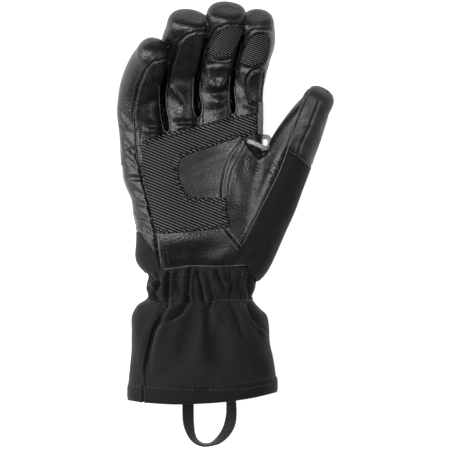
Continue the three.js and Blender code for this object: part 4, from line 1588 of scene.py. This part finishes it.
@dataclass(frozen=True)
class Sleeve:
    """Fabric tube through sections, flat where it lies on its back.

    A row holds, in millimetres from the wrist seam, the place along, the left and the right
    side, and the lowest and the highest point. The slope and the bow shape its lower edge.
    """

    name: str
    nodes: tuple[str, ...]
    rows: tuple[tuple[float, float, float, float, float], ...]
    sides: int
    steps: int
    wall: float = 2.0 * MM
    slope: float = 0.056
    bow: float = 5.4
    square: float = 2.3

    def skin(self) -> bpy.types.Object:
        """The tube, without a wall yet.

        Returns:
            The tube.
        """
        shift = GROUP_SHIFT
        c, s = superellipse(self.sides, self.square).T
        fine = catmull(np.array(self.rows) * MM, 12 * len(self.rows))
        even = np.linspace(-fine[0, 0], -fine[-1, 0], self.steps)
        table = [np.interp(even, -fine[:, 0], fine[:, k]) for k in range(5)]
        rings = []
        for y, left, right, bottom, top in zip(*table):
            half = (right - left) / 2
            x = (left + right) / 2 + half * c
            z = (top + bottom) / 2 + (top - bottom) / 2 * s
            draw = max(-y, 0) / CUFF_LENGTH * (self.slope * half * c + self.bow * MM * c * c)
            rings.append(np.stack([x + shift[0], y + draw + shift[1], np.maximum(z, 0)], axis=1))
        return lofted(self.name, np.array(rings), False)

    def maker(self) -> PanelMaker:
        """The tube, ready to be folded, sewn and cut into panels."""
        return PanelMaker(self.skin(), self.nodes)


def fold_cloth(maker: PanelMaker, folds: tuple[Fold, ...], shoulder: float) -> None:
    """Presses folds into a tube and fills out the cloth beside them.

    Args:
        maker: The tube.
        folds: The folds of the side that faces up. Those below are their mirror image.
        shoulder: Share of a fold's depth that the cloth beside it stands out.
    """
    normals = maker.field.normals()
    xy = maker.field.co[:, :2]
    dent = np.zeros(len(xy))
    for one in folds:
        far, k, part = nearest_piece(xy, plan(one.line))
        ends = 1 - np.abs(2 * (part + k) / (len(one.line) - 1) - 1) ** 3
        width = one.width * MM
        valley = bell(far, width) * ends
        beside = bell(far, width, 2 * width) * ends
        dent += one.depth * MM * (valley - shoulder * beside)
        # Painted shade in the fold's valley.
        maker.crease -= 0.3 * valley * np.clip(one.depth, 0, 1)
    side = smoothstep(np.abs(normals[:, 2]), 0.1, 0.4)
    maker.field.co -= (dent * side)[:, None] * normals
    maker.field.co[:, 2] = np.maximum(maker.field.co[:, 2], 0)


def draw_line(maker: PanelMaker, pixels: Line, depth: float, width: float) -> None:
    """Presses a sewn line into the side that faces up, with a lip beside it.

    Args:
        maker: The skin.
        pixels: The line.
        depth: Depth in millimetres.
        width: Width in millimetres.
    """
    normals = maker.field.normals()
    up = smoothstep(normals[:, 2], 0.0, 0.3)
    far = nearest_piece(maker.field.co[:, :2], plan(pixels))[0]
    groove = bell(far, width * MM) * up
    lip = bell(far, width * MM, 2 * width * MM) * up
    maker.field.co += ((0.4 * lip - groove) * depth * MM)[:, None] * normals
    # Painted shade in the groove and painted highlight on the lip.
    maker.crease += (0.2 * lip - 0.5 * groove) * min(1.0, depth)


@dataclass
class Gauntlet:
    """Elastic wrist with gathers, softshell cuff in two panels and turned-up hem."""

    sleeve: Sleeve = Sleeve(
        "sleeve_cloth",
        ("wrist_band", "cuff_front", "cuff_back"),
        (
            (14.0, -38.3, 49.6, -1.0, 35.4), (8.9, -39.9, 52.0, -2.2, 37.4),
            (5.5, -36.8, 51.6, -1.8, 37.8), (1.5, -33.6, 49.2, -1.3, 37.8),
            (-2.8, -34.4, 45.6, -1.0, 38.2), (-8.0, -35.0, 44.8, -1.0, 38.4),
            (-13.0, -33.8, 43.0, -1.0, 37.6), (-15.9, -35.0, 42.0, -1.0, 37.6),
            (-20.0, -40.4, 44.6, -2.0, 40.6), (-25.0, -43.4, 49.0, -3.0, 44.4),
            (-30.0, -44.9, 53.2, -4.2, 47.2), (-40.0, -45.0, 55.0, -4.2, 49.6),
            (-52.0, -45.2, 55.6, -4.2, 51.0), (-64.0, -46.2, 58.2, -4.2, 51.8),
            (-79.6, -47.9, 60.4, -4.2, 52.2),
        ),
        sides=420,
        steps=180,
    )
    hem: Sleeve = Sleeve(
        "hem_cloth",
        ("cuff_hem",),
        (
            (-79.2, -47.9, 60.4, -4.2, 52.2), (-80.6, -48.6, 61.0, -4.2, 52.8),
            (-85.5, -48.8, 61.2, -4.2, 53.0), (-90.0, -48.6, 61.0, -4.2, 52.8),
            (-91.6, -48.0, 60.4, -4.2, 52.0),
        ),
        sides=380,
        steps=28,
        wall=3.0 * MM,
    )
    side_seam: Seam = Seam("cuff_front", "cuff_back", groove=0.9, width=0.9, lip=0.4)
    hem_seam: Line = ((143.4, 386), (143.6, 402))
    gathers: tuple[Fold, ...] = (
        # on the left, between the two sewn lines
        Fold(((149, 276), (156, 281), (160, 286)), 1.4, 2.6),
        Fold(((147, 288), (154, 290), (158, 287)), 1.4, 2.2),
        Fold(((157, 272), (158, 282), (155, 294), (157, 300)), 1.6, 3.0),
        Fold(((150, 297), (158, 300), (169, 308)), 1.7, 3.4),
        Fold(((169, 270), (167.6, 282), (167, 295), (168, 308)), 1.4, 4.9),
        Fold(((178, 268), (177, 280), (175, 292)), 1.9, 1.7),
        Fold(((190, 266), (188.6, 280), (187.4, 296), (187, 306)), 1.6, 5.3),
        Fold(((197, 269), (199.6, 282), (202.6, 297), (207, 310)), 1.4, 4.9),
        Fold(((193.6, 270), (194, 284), (193, 298)), 1.1, 1.7),
        Fold(((208, 272), (209, 286), (212, 297)), 1.3, 1.6),
        Fold(((213, 293), (211.4, 302), (207.6, 310)), 1.3, 3.0),
        Fold(((215.6, 268), (219.6, 280), (225.5, 293)), 1.6, 4.5),
        Fold(((224, 270), (227, 284)), 1.2, 1.8),
        Fold(((229.4, 271), (231, 284), (230.2, 300)), 1.7, 2.6),
        Fold(((234.8, 274), (236.2, 286), (235, 299)), 1.4, 1.7),
        Fold(((240, 270), (239.4, 283), (241, 302)), 1.5, 2.1),
        Fold(((244.2, 276), (245.4, 288), (244.2, 298)), 1.3, 1.3),
        Fold(((249, 272), (248.2, 286), (249.6, 302)), 1.4, 1.9),
        Fold(((174, 284), (180, 290), (184, 299)), 2.2, 1.4),
        Fold(((211, 282), (219, 276), (228, 280)), 2.4, 1.0),
        Fold(((191.6, 285), (195, 279), (196.8, 270)), 1.6, 1.4),
        Fold(((250, 273), (254, 278), (257, 283)), 1.2, 2.9),
    )
    folds: tuple[Fold, ...] = (
        Fold(((187, 296), (184, 307), (179.6, 313), (170, 319), (158, 325)), 2.2, 3.8),
        Fold(((168, 306), (160, 319), (152, 335), (148, 354), (146, 378)), 2.3, 3.2),
        Fold(((173, 304), (168, 314), (161, 330), (157, 350)), 3.0, -1.4),
        Fold(((207.4, 306), (207.6, 318), (208, 336)), 2.3, 2.9),
        Fold(((217, 303), (217.5, 314), (219, 330)), 3.2, -1.2),
        Fold(((229, 301), (235.5, 317), (242, 341)), 2.3, 2.6),
        Fold(((236, 300), (243, 318), (250, 335)), 2.3, -1.0),
        Fold(((246, 302), (254, 320), (262, 336)), 2.1, 2.0),
        Fold(((241.7, 303), (249, 317), (258, 328), (267, 338)), 1.5, -1.7),
        Fold(((196, 312), (187, 336), (178, 366)), 6.0, 2.4),
        Fold(((204, 316), (203, 334), (198, 366)), 4.6, -1.6),
        Fold(((209, 320), (214, 344), (222, 374)), 6.4, 2.6),
        Fold(((222, 322), (238, 346), (254, 362)), 5.2, -1.7),
        Fold(((242, 341), (254, 362), (264, 380)), 4.6, 2.0),
        Fold(((170, 322), (160, 344), (156, 376)), 5.0, -1.3),
        Fold(((140, 300), (138, 330), (141, 366)), 3.6, -1.0),
        Fold(((158, 382), (185, 380), (214, 381)), 5.0, -0.9),
    )

    # line of pixels, depth and width in millimetres
    sewn: tuple[tuple[Line, float, float], ...] = (
        (((150, 278), (168, 279.5), (190, 278), (205, 274.5), (248, 273)), 0.6, 0.7),
        (((147, 299), (172, 302), (205, 300.5), (235, 299), (253, 299)), 0.8, 0.7),
    )

    def build(self, cloth: bpy.types.Material) -> tuple[BVHTree, BVHTree]:
        """Folds, sews and dresses the wrist, the cuff's panels and the hem.

        Args:
            cloth: Material of the softshell.

        Returns:
            Search trees of the sleeve and of the hem, for what is sewn onto them.
        """
        sleeve = self.sleeve.maker()
        sleeve.sew((self.side_seam,))
        fold_cloth(sleeve, self.folds, shoulder=0.25)
        fold_cloth(sleeve, self.gathers, shoulder=0.3)
        for line, depth, width in self.sewn:
            draw_line(sleeve, line, depth, width)
        sleeve.swell(size=26 * MM, height=0.4 * MM, seed=8, stretch=(1.0, 0.5, 1.0))
        sleeve.swell(size=8 * MM, height=0.1 * MM, seed=5, stretch=(1.0, 0.8, 1.0))
        ground = sleeve.settle()
        for name, panel in sleeve.panels(self.sleeve.wall).items():
            dress(panel, cloth, (name,))
        hem = self.hem.maker()
        hem.crease -= PANEL_DARKENING
        draw_line(hem, self.hem_seam, depth=1.0, width=0.8)
        hem.swell(size=16 * MM, height=0.3 * MM, seed=9, stretch=(1.0, 0.6, 1.0))
        hem_ground = hem.settle()
        panel = hem.panels(self.hem.wall)["cuff_hem"]
        dress(panel, cloth, ("cuff_hem",))
        return ground, hem_ground


@dataclass
class PullLoop:
    """Webbing tape that hangs from the hem and turns on edge at its bottom."""

    width: float = 8.4 * MM
    thickness: float = 1.5 * MM
    height: float = 4.6 * MM
    squareness: float = 7
    sides: int = 28
    steps: int = 150
    rows: tuple[tuple[float, float, float], ...] = (
        # column, row and the width that shows, in pixels
        (188, 398, 11.5), (188, 412, 11.5), (188.6, 424, 10.5), (191.5, 435, 7.0),
        (196.5, 442, 4.0), (204, 445.2, 2.2), (211.5, 444.2, 2.6), (218.5, 440.5, 6.0),
        (225.5, 433, 9.0), (229.8, 424, 10.8), (231.4, 413, 10.0), (231, 398, 9.0),
    )

    def build(self, tape: bpy.types.Material) -> bpy.types.Object:
        """Sweeps the tape along its way.

        Args:
            tape: Material of the tape.

        Returns:
            The tape.
        """
        rows = catmull(np.array(self.rows), self.steps)
        way = np.stack(
            [*spot(rows[:, 0], rows[:, 1]), np.full(len(rows), self.height)], axis=1
        )
        shown = np.clip(rows[:, 2] * PIXEL / self.width, self.thickness / self.width, 1)
        lean = np.arccos(shown)[:, None]
        ahead, level, up = frames(way)
        across = level * np.cos(lean) + up * np.sin(lean)
        section = superellipse(self.sides, self.squareness) * (self.width / 2, self.thickness / 2)
        piece = swept("pull_loop_tape", way, across, np.cross(across, ahead), section[None])
        return dress(piece, tape, ("pull_loop",))


@dataclass
class PoleLoop:
    """Grey cord ring in the fold between the thumb and the index finger."""

    diameter: float = 3.3 * MM
    sides: int = 16
    steps: int = 90
    braid: float = 0.07  # how far the strands stand out, as a share of the diameter
    twist: float = 0.7  # turn of the strands from one step to the next, in radians
    route: tuple[tuple[float, float, float], ...] = (
        # across, along and height, as shares of the hand's sizes
        (0.372, 0.498, 0.64), (0.4, 0.494, 0.82), (0.445, 0.483, 0.84), (0.492, 0.472, 0.78),
        (0.518, 0.48, 0.68), (0.522, 0.5, 0.6), (0.505, 0.513, 0.54), (0.475, 0.512, 0.5),
        (0.45, 0.505, 0.48),
    )

    def build(self, form: PaddedForm, cord: bpy.types.Material) -> bpy.types.Object:
        """Sweeps the cord along its way, with the twist of its braid.

        Args:
            form: Sizes of the hand.
            cord: Material of the cord.

        Returns:
            The cord.
        """
        way = catmull(
            np.array([(form.x(a), form.y(b), h * form.depth) for a, b, h in self.route]),
            self.steps,
        )
        _, side, over = frames(way)
        turn = np.linspace(0, 2 * math.pi, self.sides, endpoint=False)
        braid = 1 + self.braid * np.sin(2 * turn + np.arange(len(way))[:, None] * self.twist)
        section = (self.diameter / 2 * braid)[..., None] * superellipse(self.sides, 2)
        tube = swept("pole_loop_cord", way, side, over, section)
        piece = dress(tube, cord, ("pole_loop",))
        return piece


@dataclass(frozen=True)
class Edge:
    """A turned edge that stands up from the surface, along a line of pixels."""

    line: Line
    radius: float
    rim: float = 0.0


@dataclass
class TurnedEdges:
    """Thin raised edges of the leather along its seams and finger slots."""

    lift: float = 0.12 * MM
    sides: int = 10
    steps: int = 12  # for each point of an edge's line
    taper: tuple[float, float] = (0.12, 0.88)  # part of a half turn that narrows its ends
    edges: tuple[Edge, ...] = (
        # radii in millimetres: slots between the fingers
        Edge(((159.3, 86), (159.2, 96), (160.2, 112), (161.8, 122), (163.9, 129.6), (167.3, 132.4),
            (170.2, 128.8), (169.1, 119.3), (167, 108.4), (166.3, 96), (167.4, 84)), 0.42, 1.0),
        Edge(((193.4, 78), (192.9, 92), (192.9, 108), (195.2, 115.8), (198.8, 117.9), (202.4, 114),
            (202.3, 104.1), (200.2, 94.3), (200.3, 82)), 0.42, 1.0),
        Edge(((230.2, 76), (229, 92), (229.3, 106), (231.2, 112.4), (234.2, 114.4), (236.6, 110.4),
            (235.4, 98), (234.2, 86)), 0.4, 1.0),
        # finger caps
        Edge(((156, 63.8), (161, 60.8), (166.2, 60.2)), 0.5),
        Edge(((154.4, 63.4), (148.4, 69), (142.4, 81.6), (138.2, 95.4), (136.6, 104)), 0.26),
        Edge(((198, 34.6), (202.6, 33.6), (206.6, 34)), 0.5),
        Edge(((182.6, 42.6), (187.5, 37.2), (192, 35.4)), 0.4),
        Edge(((181, 46), (176.4, 59.6), (172.2, 75)), 0.24),
        Edge(((212.6, 9.6), (218.4, 7), (229.3, 6.2), (240, 8.4)), 0.34),
        Edge(((211.9, 60), (218.4, 61.6), (227, 61.4), (231, 59.6)), 0.7),
        Edge(((250, 36), (254.8, 32.4), (262, 31.2), (268.6, 32.6), (272.4, 36)), 0.7),
        Edge(((146, 45.6), (150, 42.8), (155.6, 41.4)), 0.3),
        # ulnar seam
        Edge(((135.2, 101), (133.6, 118), (134.6, 141), (137.4, 161)), 0.3),
        Edge(((137.2, 99), (135.9, 118), (137, 141), (139.8, 163)), 0.3),
        # gusset and heel of the hand
        Edge(((241.6, 143), (232.4, 155), (226.4, 169.4), (223.6, 184), (222.6, 196.6)), 0.45),
        Edge(((243.9, 144.5), (236.6, 157), (230.4, 169.4), (227.4, 181.6), (226, 196.6)), 0.45),
        Edge(((222.6, 230.6), (230, 240), (238.4, 250.6)), 0.45),
        Edge(((228.6, 229.6), (235, 238), (241.4, 246.4)), 0.45),
        # thumb seam
        Edge(((312, 89.4), (303.4, 101), (298.4, 112), (295, 122), (291.6, 136), (287.6, 150),
            (281, 168), (271, 189), (258.6, 213), (242.6, 244.6)), 0.34),
        Edge(((289.4, 150.6), (298, 156), (306.4, 163.4), (311, 168.6)), 0.3),
        # band along the ulnar seam at the heel
        Edge(((158.4, 236), (160, 250), (162, 267.6)), 0.9),
        # lower edge of the palm's leather
        Edge(((163.4, 269.4), (181.8, 267), (192.6, 265.8), (217.4, 266.2), (245.5, 265)), 0.4),
    )

    def build(self, ground: BVHTree, leather: bpy.types.Material) -> bpy.types.Object:
        """Sweeps each edge along the surface.

        Args:
            ground: Search tree of the leather.
            leather: Material of the turned leather, coloured lighter as a painted highlight.

        Returns:
            All the edges as one piece.
        """
        bm = bmesh.new()
        for edge in self.edges:
            line = catmull(plan(edge.line), self.steps * len(edge.line))
            way = laid_on(ground, line, self.lift, edge.rim * MM)
            _, side, over = frames(way)
            taper = np.sin(np.linspace(*self.taper, len(way)) * math.pi) ** 0.5
            section = (edge.radius * MM * taper)[:, None, None] * superellipse(self.sides, 2)
            tube = swept("edge", way, side, over, section)
            bm.from_mesh(tube.data)
            bpy.data.objects.remove(tube)
        piece = bm_object("turned_edges", bm)
        paint(piece, "crease", np.zeros(len(piece.data.vertices)))
        return dress(piece, leather, ())


def laid_on(ground: BVHTree, line: np.ndarray, lift: float, rim: float) -> np.ndarray:
    """Lays a plan line on a surface, with its heights evened out.

    Args:
        ground: Search tree of the surface.
        line: The line in plan.
        lift: Height over the surface.
        rim: How far beside the line a higher rim counts.

    Returns:
        The line's points.
    """
    ahead = np.gradient(line, axis=0)
    beside = unit(np.stack([ahead[:, 1], -ahead[:, 0]], axis=1))
    heights = []
    for (x, y), (u, v) in zip(line, beside):
        tried = [drop(ground, x + off * u, y + off * v) for off in (-rim, 0.0, rim)]
        heights.append(max((hit.z for hit in tried if hit is not None), default=math.nan))
    heights = np.array(heights)
    good = ~np.isnan(heights)
    heights = np.interp(np.arange(len(line)), np.flatnonzero(good), heights[good])
    smooth = heights.copy()
    for _ in range(EVENED):
        padded = np.concatenate([smooth[:1], smooth, smooth[-1:]])
        smooth = np.maximum((padded[:-2] + 2 * padded[1:-1] + padded[2:]) / 4, heights - SUNK)
    return np.column_stack([line, smooth + lift])


@dataclass
class Stitching:
    """Rows of thread that lie on the leather and the cloth."""

    length: float = 1.5 * MM
    space: float = 1.2 * MM
    radius: float = 0.27 * MM
    steps: int = 400  # places worked out along a row
    tack_row: float = 0.75  # pixels between the rows of a bar tack
    tack_shift: float = 0.5  # pixels that every second row is moved along
    leather_rows: tuple[Line, ...] = (
        ((240, 141.6), (230.6, 154), (224.4, 169), (221.6, 184), (220.6, 196)),
        ((245.6, 145.6), (238.6, 158), (232.4, 170), (229.4, 182), (228, 196)),
        ((251.6, 76), (249.2, 80), (248.6, 85), (249.4, 91.5), (252, 99.6), (261, 100)),
        ((254, 78), (251.6, 81.4), (251, 86), (251.8, 91), (254, 97), (261, 97.4)),
        ((252.6, 75), (259, 72.4), (265, 70.4)), ((161.8, 240), (162.8, 252), (164.6, 266)),
        ((166.4, 244), (167.8, 256), (169.8, 266)),
        ((290.8, 148.6), (298.6, 153.6), (307, 160.6), (312, 166)),
    )
    hem_rows: tuple[Line, ...] = (
        ((132.5, 386.4), (160, 388.2), (193, 389.6), (220, 389.8), (244, 388.8), (260, 386),
            (274, 383)),
    )
    tacks: tuple[tuple[tuple[float, float], tuple[float, float], int], ...] = (
        # first and last pixel of a bar tack's upper row, and its rows
        ((194.4, 387.4), (208.6, 387.6), 7), ((260.6, 382.6), (268.6, 380.4), 5),
    )
    cloth_rows: tuple[Line, ...] = (
        ((150, 278), (168, 279.5), (190, 278), (205, 274.5), (248, 273)),
        ((149, 299.4), (172, 302), (205, 300.5), (235, 299), (251, 299)),
    )

    def build(
        self, name: str, rows: tuple[Line, ...], ground: BVHTree, thread: bpy.types.Material
    ) -> bpy.types.Object:
        """Lays small rounded stitches along each row.

        Args:
            name: Name of the piece.
            rows: Lines of pixels.
            ground: Search tree of the surfaces that they lie on.
            thread: Material of the thread.

        Returns:
            All the stitches as one piece.
        """
        bm = bmesh.new()
        for row in rows:
            line = catmull(plan(row), self.steps)
            run = np.concatenate([[0], np.cumsum(np.linalg.norm(np.diff(line, axis=0), axis=1))])
            start = 0.0
            while start + self.length < run[-1]:
                ends = []
                for place in (start, start + self.length):
                    hit = drop(ground, *(np.interp(place, run, line[:, k]) for k in range(2)))
                    if hit is not None:
                        ends.append(hit)
                start += self.length + self.space
                if len(ends) == 2 and (ends[0] - ends[1]).length < 2 * self.length:
                    self.stitch(bm, ends[0], ends[1])
        return dress(bm_object(name, bm), thread, ())

    def tack_rows(self) -> tuple[Line, ...]:
        """Close rows of the bar tacks, one below the other.

        Returns:
            Lines of pixels.
        """
        return tuple(
            ((x1 + self.tack_shift * (k % 2), y1 + self.tack_row * k), (x2, y2 + self.tack_row * k))
            for (x1, y1), (x2, y2), count in self.tacks
            for k in range(count)
        )

    def stitch(self, bm: bmesh.types.BMesh, start: Vector, end: Vector) -> None:
        """Adds one stitch, a slim ball between two places.

        Args:
            bm: The bmesh that it is added to.
            start: One end.
            end: The other end.
        """
        way = end - start
        made = bmesh.ops.create_uvsphere(bm, u_segments=8, v_segments=5, radius=1.0)
        turn = way.to_track_quat("Z", "Y")
        middle = (start + end) / 2
        for v in made["verts"]:
            size = Vector((self.radius, self.radius, way.length / 2))
            v.co = middle + turn @ Vector(c * s for c, s in zip(v.co, size))


@dataclass
class Studio:
    """Camera straight above the palm, a white floor and soft lights."""

    distance: float = 15.0
    sensor: float = 36.0
    reach: float = 100
    seen: float = 450 * PIXEL
    middle_height: float = 0.025
    floor_half: float = 6.0
    floor_drop: float = 0.5 * MM
    surround: float = 0.12  # strength of the white world
    paper: float = 0.45  # how much light the floor throws back
    glow: float = 0.92  # light that the floor gives off, which keeps it white
    lamps: tuple[tuple[str, tuple[float, float, float], float, float], ...] = (
        # name, place and size in metres, power in watts
        ("left_softbox", (-1.0, 0.15, 0.75), 1.0, 19.0),
        ("right_softbox", (0.95, -0.05, 0.75), 0.8, 4.0),
        ("overhead_softbox", (-0.28, 0.22, 1.3), 0.5, 10.0),
    )

    def build(self) -> None:
        """Sets up the camera, the floor, the lights and the white surround."""
        self.camera()
        self.floor()
        for lamp in self.lamps:
            self.light(*lamp)
        scene = bpy.context.scene
        world = bpy.data.worlds.new("white_surround")
        world.use_nodes = True
        back = world.node_tree.nodes["Background"]
        back.inputs["Color"].default_value = (1, 1, 1, 1)
        back.inputs["Strength"].default_value = self.surround
        scene.world = world
        scene.view_settings.view_transform = "Standard"

    def camera(self) -> None:
        """Camera that looks straight down, with the fingers up in its picture."""
        data = bpy.data.cameras.new("camera")
        data.sensor_width = self.sensor
        data.lens = self.sensor * (self.distance - self.middle_height) / self.seen
        data.clip_end = self.reach
        eye = bpy.data.objects.new("camera", data)
        x, y = spot(225, 225)
        eye.location = (x, y, self.distance)
        bpy.context.scene.collection.objects.link(eye)
        bpy.context.scene.camera = eye

    def floor(self) -> None:
        """Plain white floor."""
        bm = bmesh.new()
        bmesh.ops.create_grid(bm, x_segments=1, y_segments=1, size=self.floor_half)
        bmesh.ops.translate(bm, verts=bm.verts, vec=(0, 0, -self.floor_drop))
        plane = bm_object("floor", bm)
        material = bpy.data.materials.new("white_paper_floor")
        material.use_nodes = True
        shader = material.node_tree.nodes["Principled BSDF"]
        shader.inputs["Base Color"].default_value = (self.paper, self.paper, self.paper, 1)
        shader.inputs["Roughness"].default_value = 0.9
        shader.inputs["Emission Color"].default_value = (1, 1, 1, 1)
        shader.inputs["Emission Strength"].default_value = self.glow
        plane.data.materials.append(material)

    def light(
        self, name: str, place: tuple[float, float, float], size: float, power: float
    ) -> None:
        """Large soft light that faces the glove and stays out of the picture.

        Args:
            name: Name of the lamp.
            place: Where it stands.
            size: Width of its square.
            power: Its power in watts.
        """
        data = bpy.data.lights.new(name, "AREA")
        data.size = size
        data.energy = power
        lamp = bpy.data.objects.new(name, data)
        lamp.location = place
        lamp.rotation_euler = (-Vector(place)).to_track_quat("-Z", "Y").to_euler()
        lamp.visible_camera = False
        bpy.context.scene.collection.objects.link(lamp)


def leather_panels(
    hand: LeatherHand, leather: bpy.types.Material, cloth: bpy.types.Material
) -> BVHTree:
    """Shapes the skin of the hand, cuts it into panels and dresses them.

    Args:
        hand: Sizes of the skin.
        leather: Material of the leather panels.
        cloth: Material of the softshell panels.

    Returns:
        Search tree of the finished skin, for what is sewn onto it.
    """
    maker = PanelMaker(hand.skin(), PANEL_NODES)
    maker.field.smooth(hand.smoothed)
    for line, reach, times in hand.softened:
        far = nearest_piece(maker.field.co[:, :2], plan(line))[0]
        above = smoothstep(maker.field.co[:, 2], *hand.upper)
        maker.field.relax(times, above * (1 - smoothstep(far, 0.4 * reach * PIXEL, reach * PIXEL)))
    maker.sew(SEAMS)
    maker.press(hand.creases)
    for line, depth, width in hand.sewn:
        draw_line(maker, line, depth, width)
    maker.slit(hand.slits)
    maker.swell(size=13 * MM, height=0.22 * MM, seed=3, stretch=(1.0, 0.8, 1.0))
    ground = maker.settle()
    napped = np.zeros(len(maker.field.co))
    for column, row, reach, amount in hand.napped:
        far = np.linalg.norm(maker.field.co[:, :2] - np.array(spot(column, row)), axis=1) / PIXEL
        napped = np.maximum(napped, amount * (1 - smoothstep(far, 0.5 * reach, reach)))
    paint(maker.field.obj, "matt", napped)
    # The thumb's back and tip panels are coloured darker all over.
    for name in ("thumb_back", "thumb_tip"):
        maker.crease[maker.labels == PANEL_NODES.index(name)] -= PANEL_DARKENING
    lower = plan(hand.mouth)
    centres = np.array([p.center[:2] for p in maker.field.obj.data.polygons])
    mouth = np.interp(centres[:, 0], lower[:, 0], lower[:, 1])
    soft = {"ulnar_softshell", "thumb_back"}
    for name, panel in maker.panels(hand.wall, centres[:, 1] < mouth).items():
        if name in soft:
            dress(panel, cloth, (name,))
        else:
            dress(panel, leather, (name,))
    return ground


def main() -> None:
    """Builds the glove in order and reports each piece."""
    logging.basicConfig(level=logging.INFO)
    Studio().build()
    leather = GOAT_LEATHER.build()
    cloth = SOFTSHELL_CLOTH.build()
    cord = BRAID.build()
    grip = RibbedGrip()
    ground = leather_panels(LeatherHand(), leather, cloth)
    for patch in PATCHES:
        if not patch.plain:
            dress(patch.build(ground, grip), grip.build(), (patch.node,))
        elif patch.node == "side_band":
            dress(patch.build(ground, grip), FELT.build(), (patch.node,))
        else:
            dress(patch.build(ground, grip), leather, (patch.node,))
    sleeve, hem = Gauntlet().build(cloth)
    PullLoop().build(TAPE.build())
    PoleLoop().build(PaddedForm(), cord)
    TurnedEdges().build(ground, LIT_LEATHER_EDGE.build())
    thread = THREAD.build()
    sewing = Stitching()
    sewing.build("leather_stitches", sewing.leather_rows, ground, thread)
    sewing.build("wrist_stitches", sewing.cloth_rows, sleeve, thread)
    sewing.build("hem_stitches", sewing.hem_rows, hem, thread)
    sewing.build("bar_tacks", sewing.tack_rows(), hem, BLACK_THREAD.build())


def plain(box: object) -> list[list[float]]:
    """A box's corners as plain lists of numbers."""
    return [[float(v) for v in corner] for corner in box]


if __name__ == "__main__":
    main()
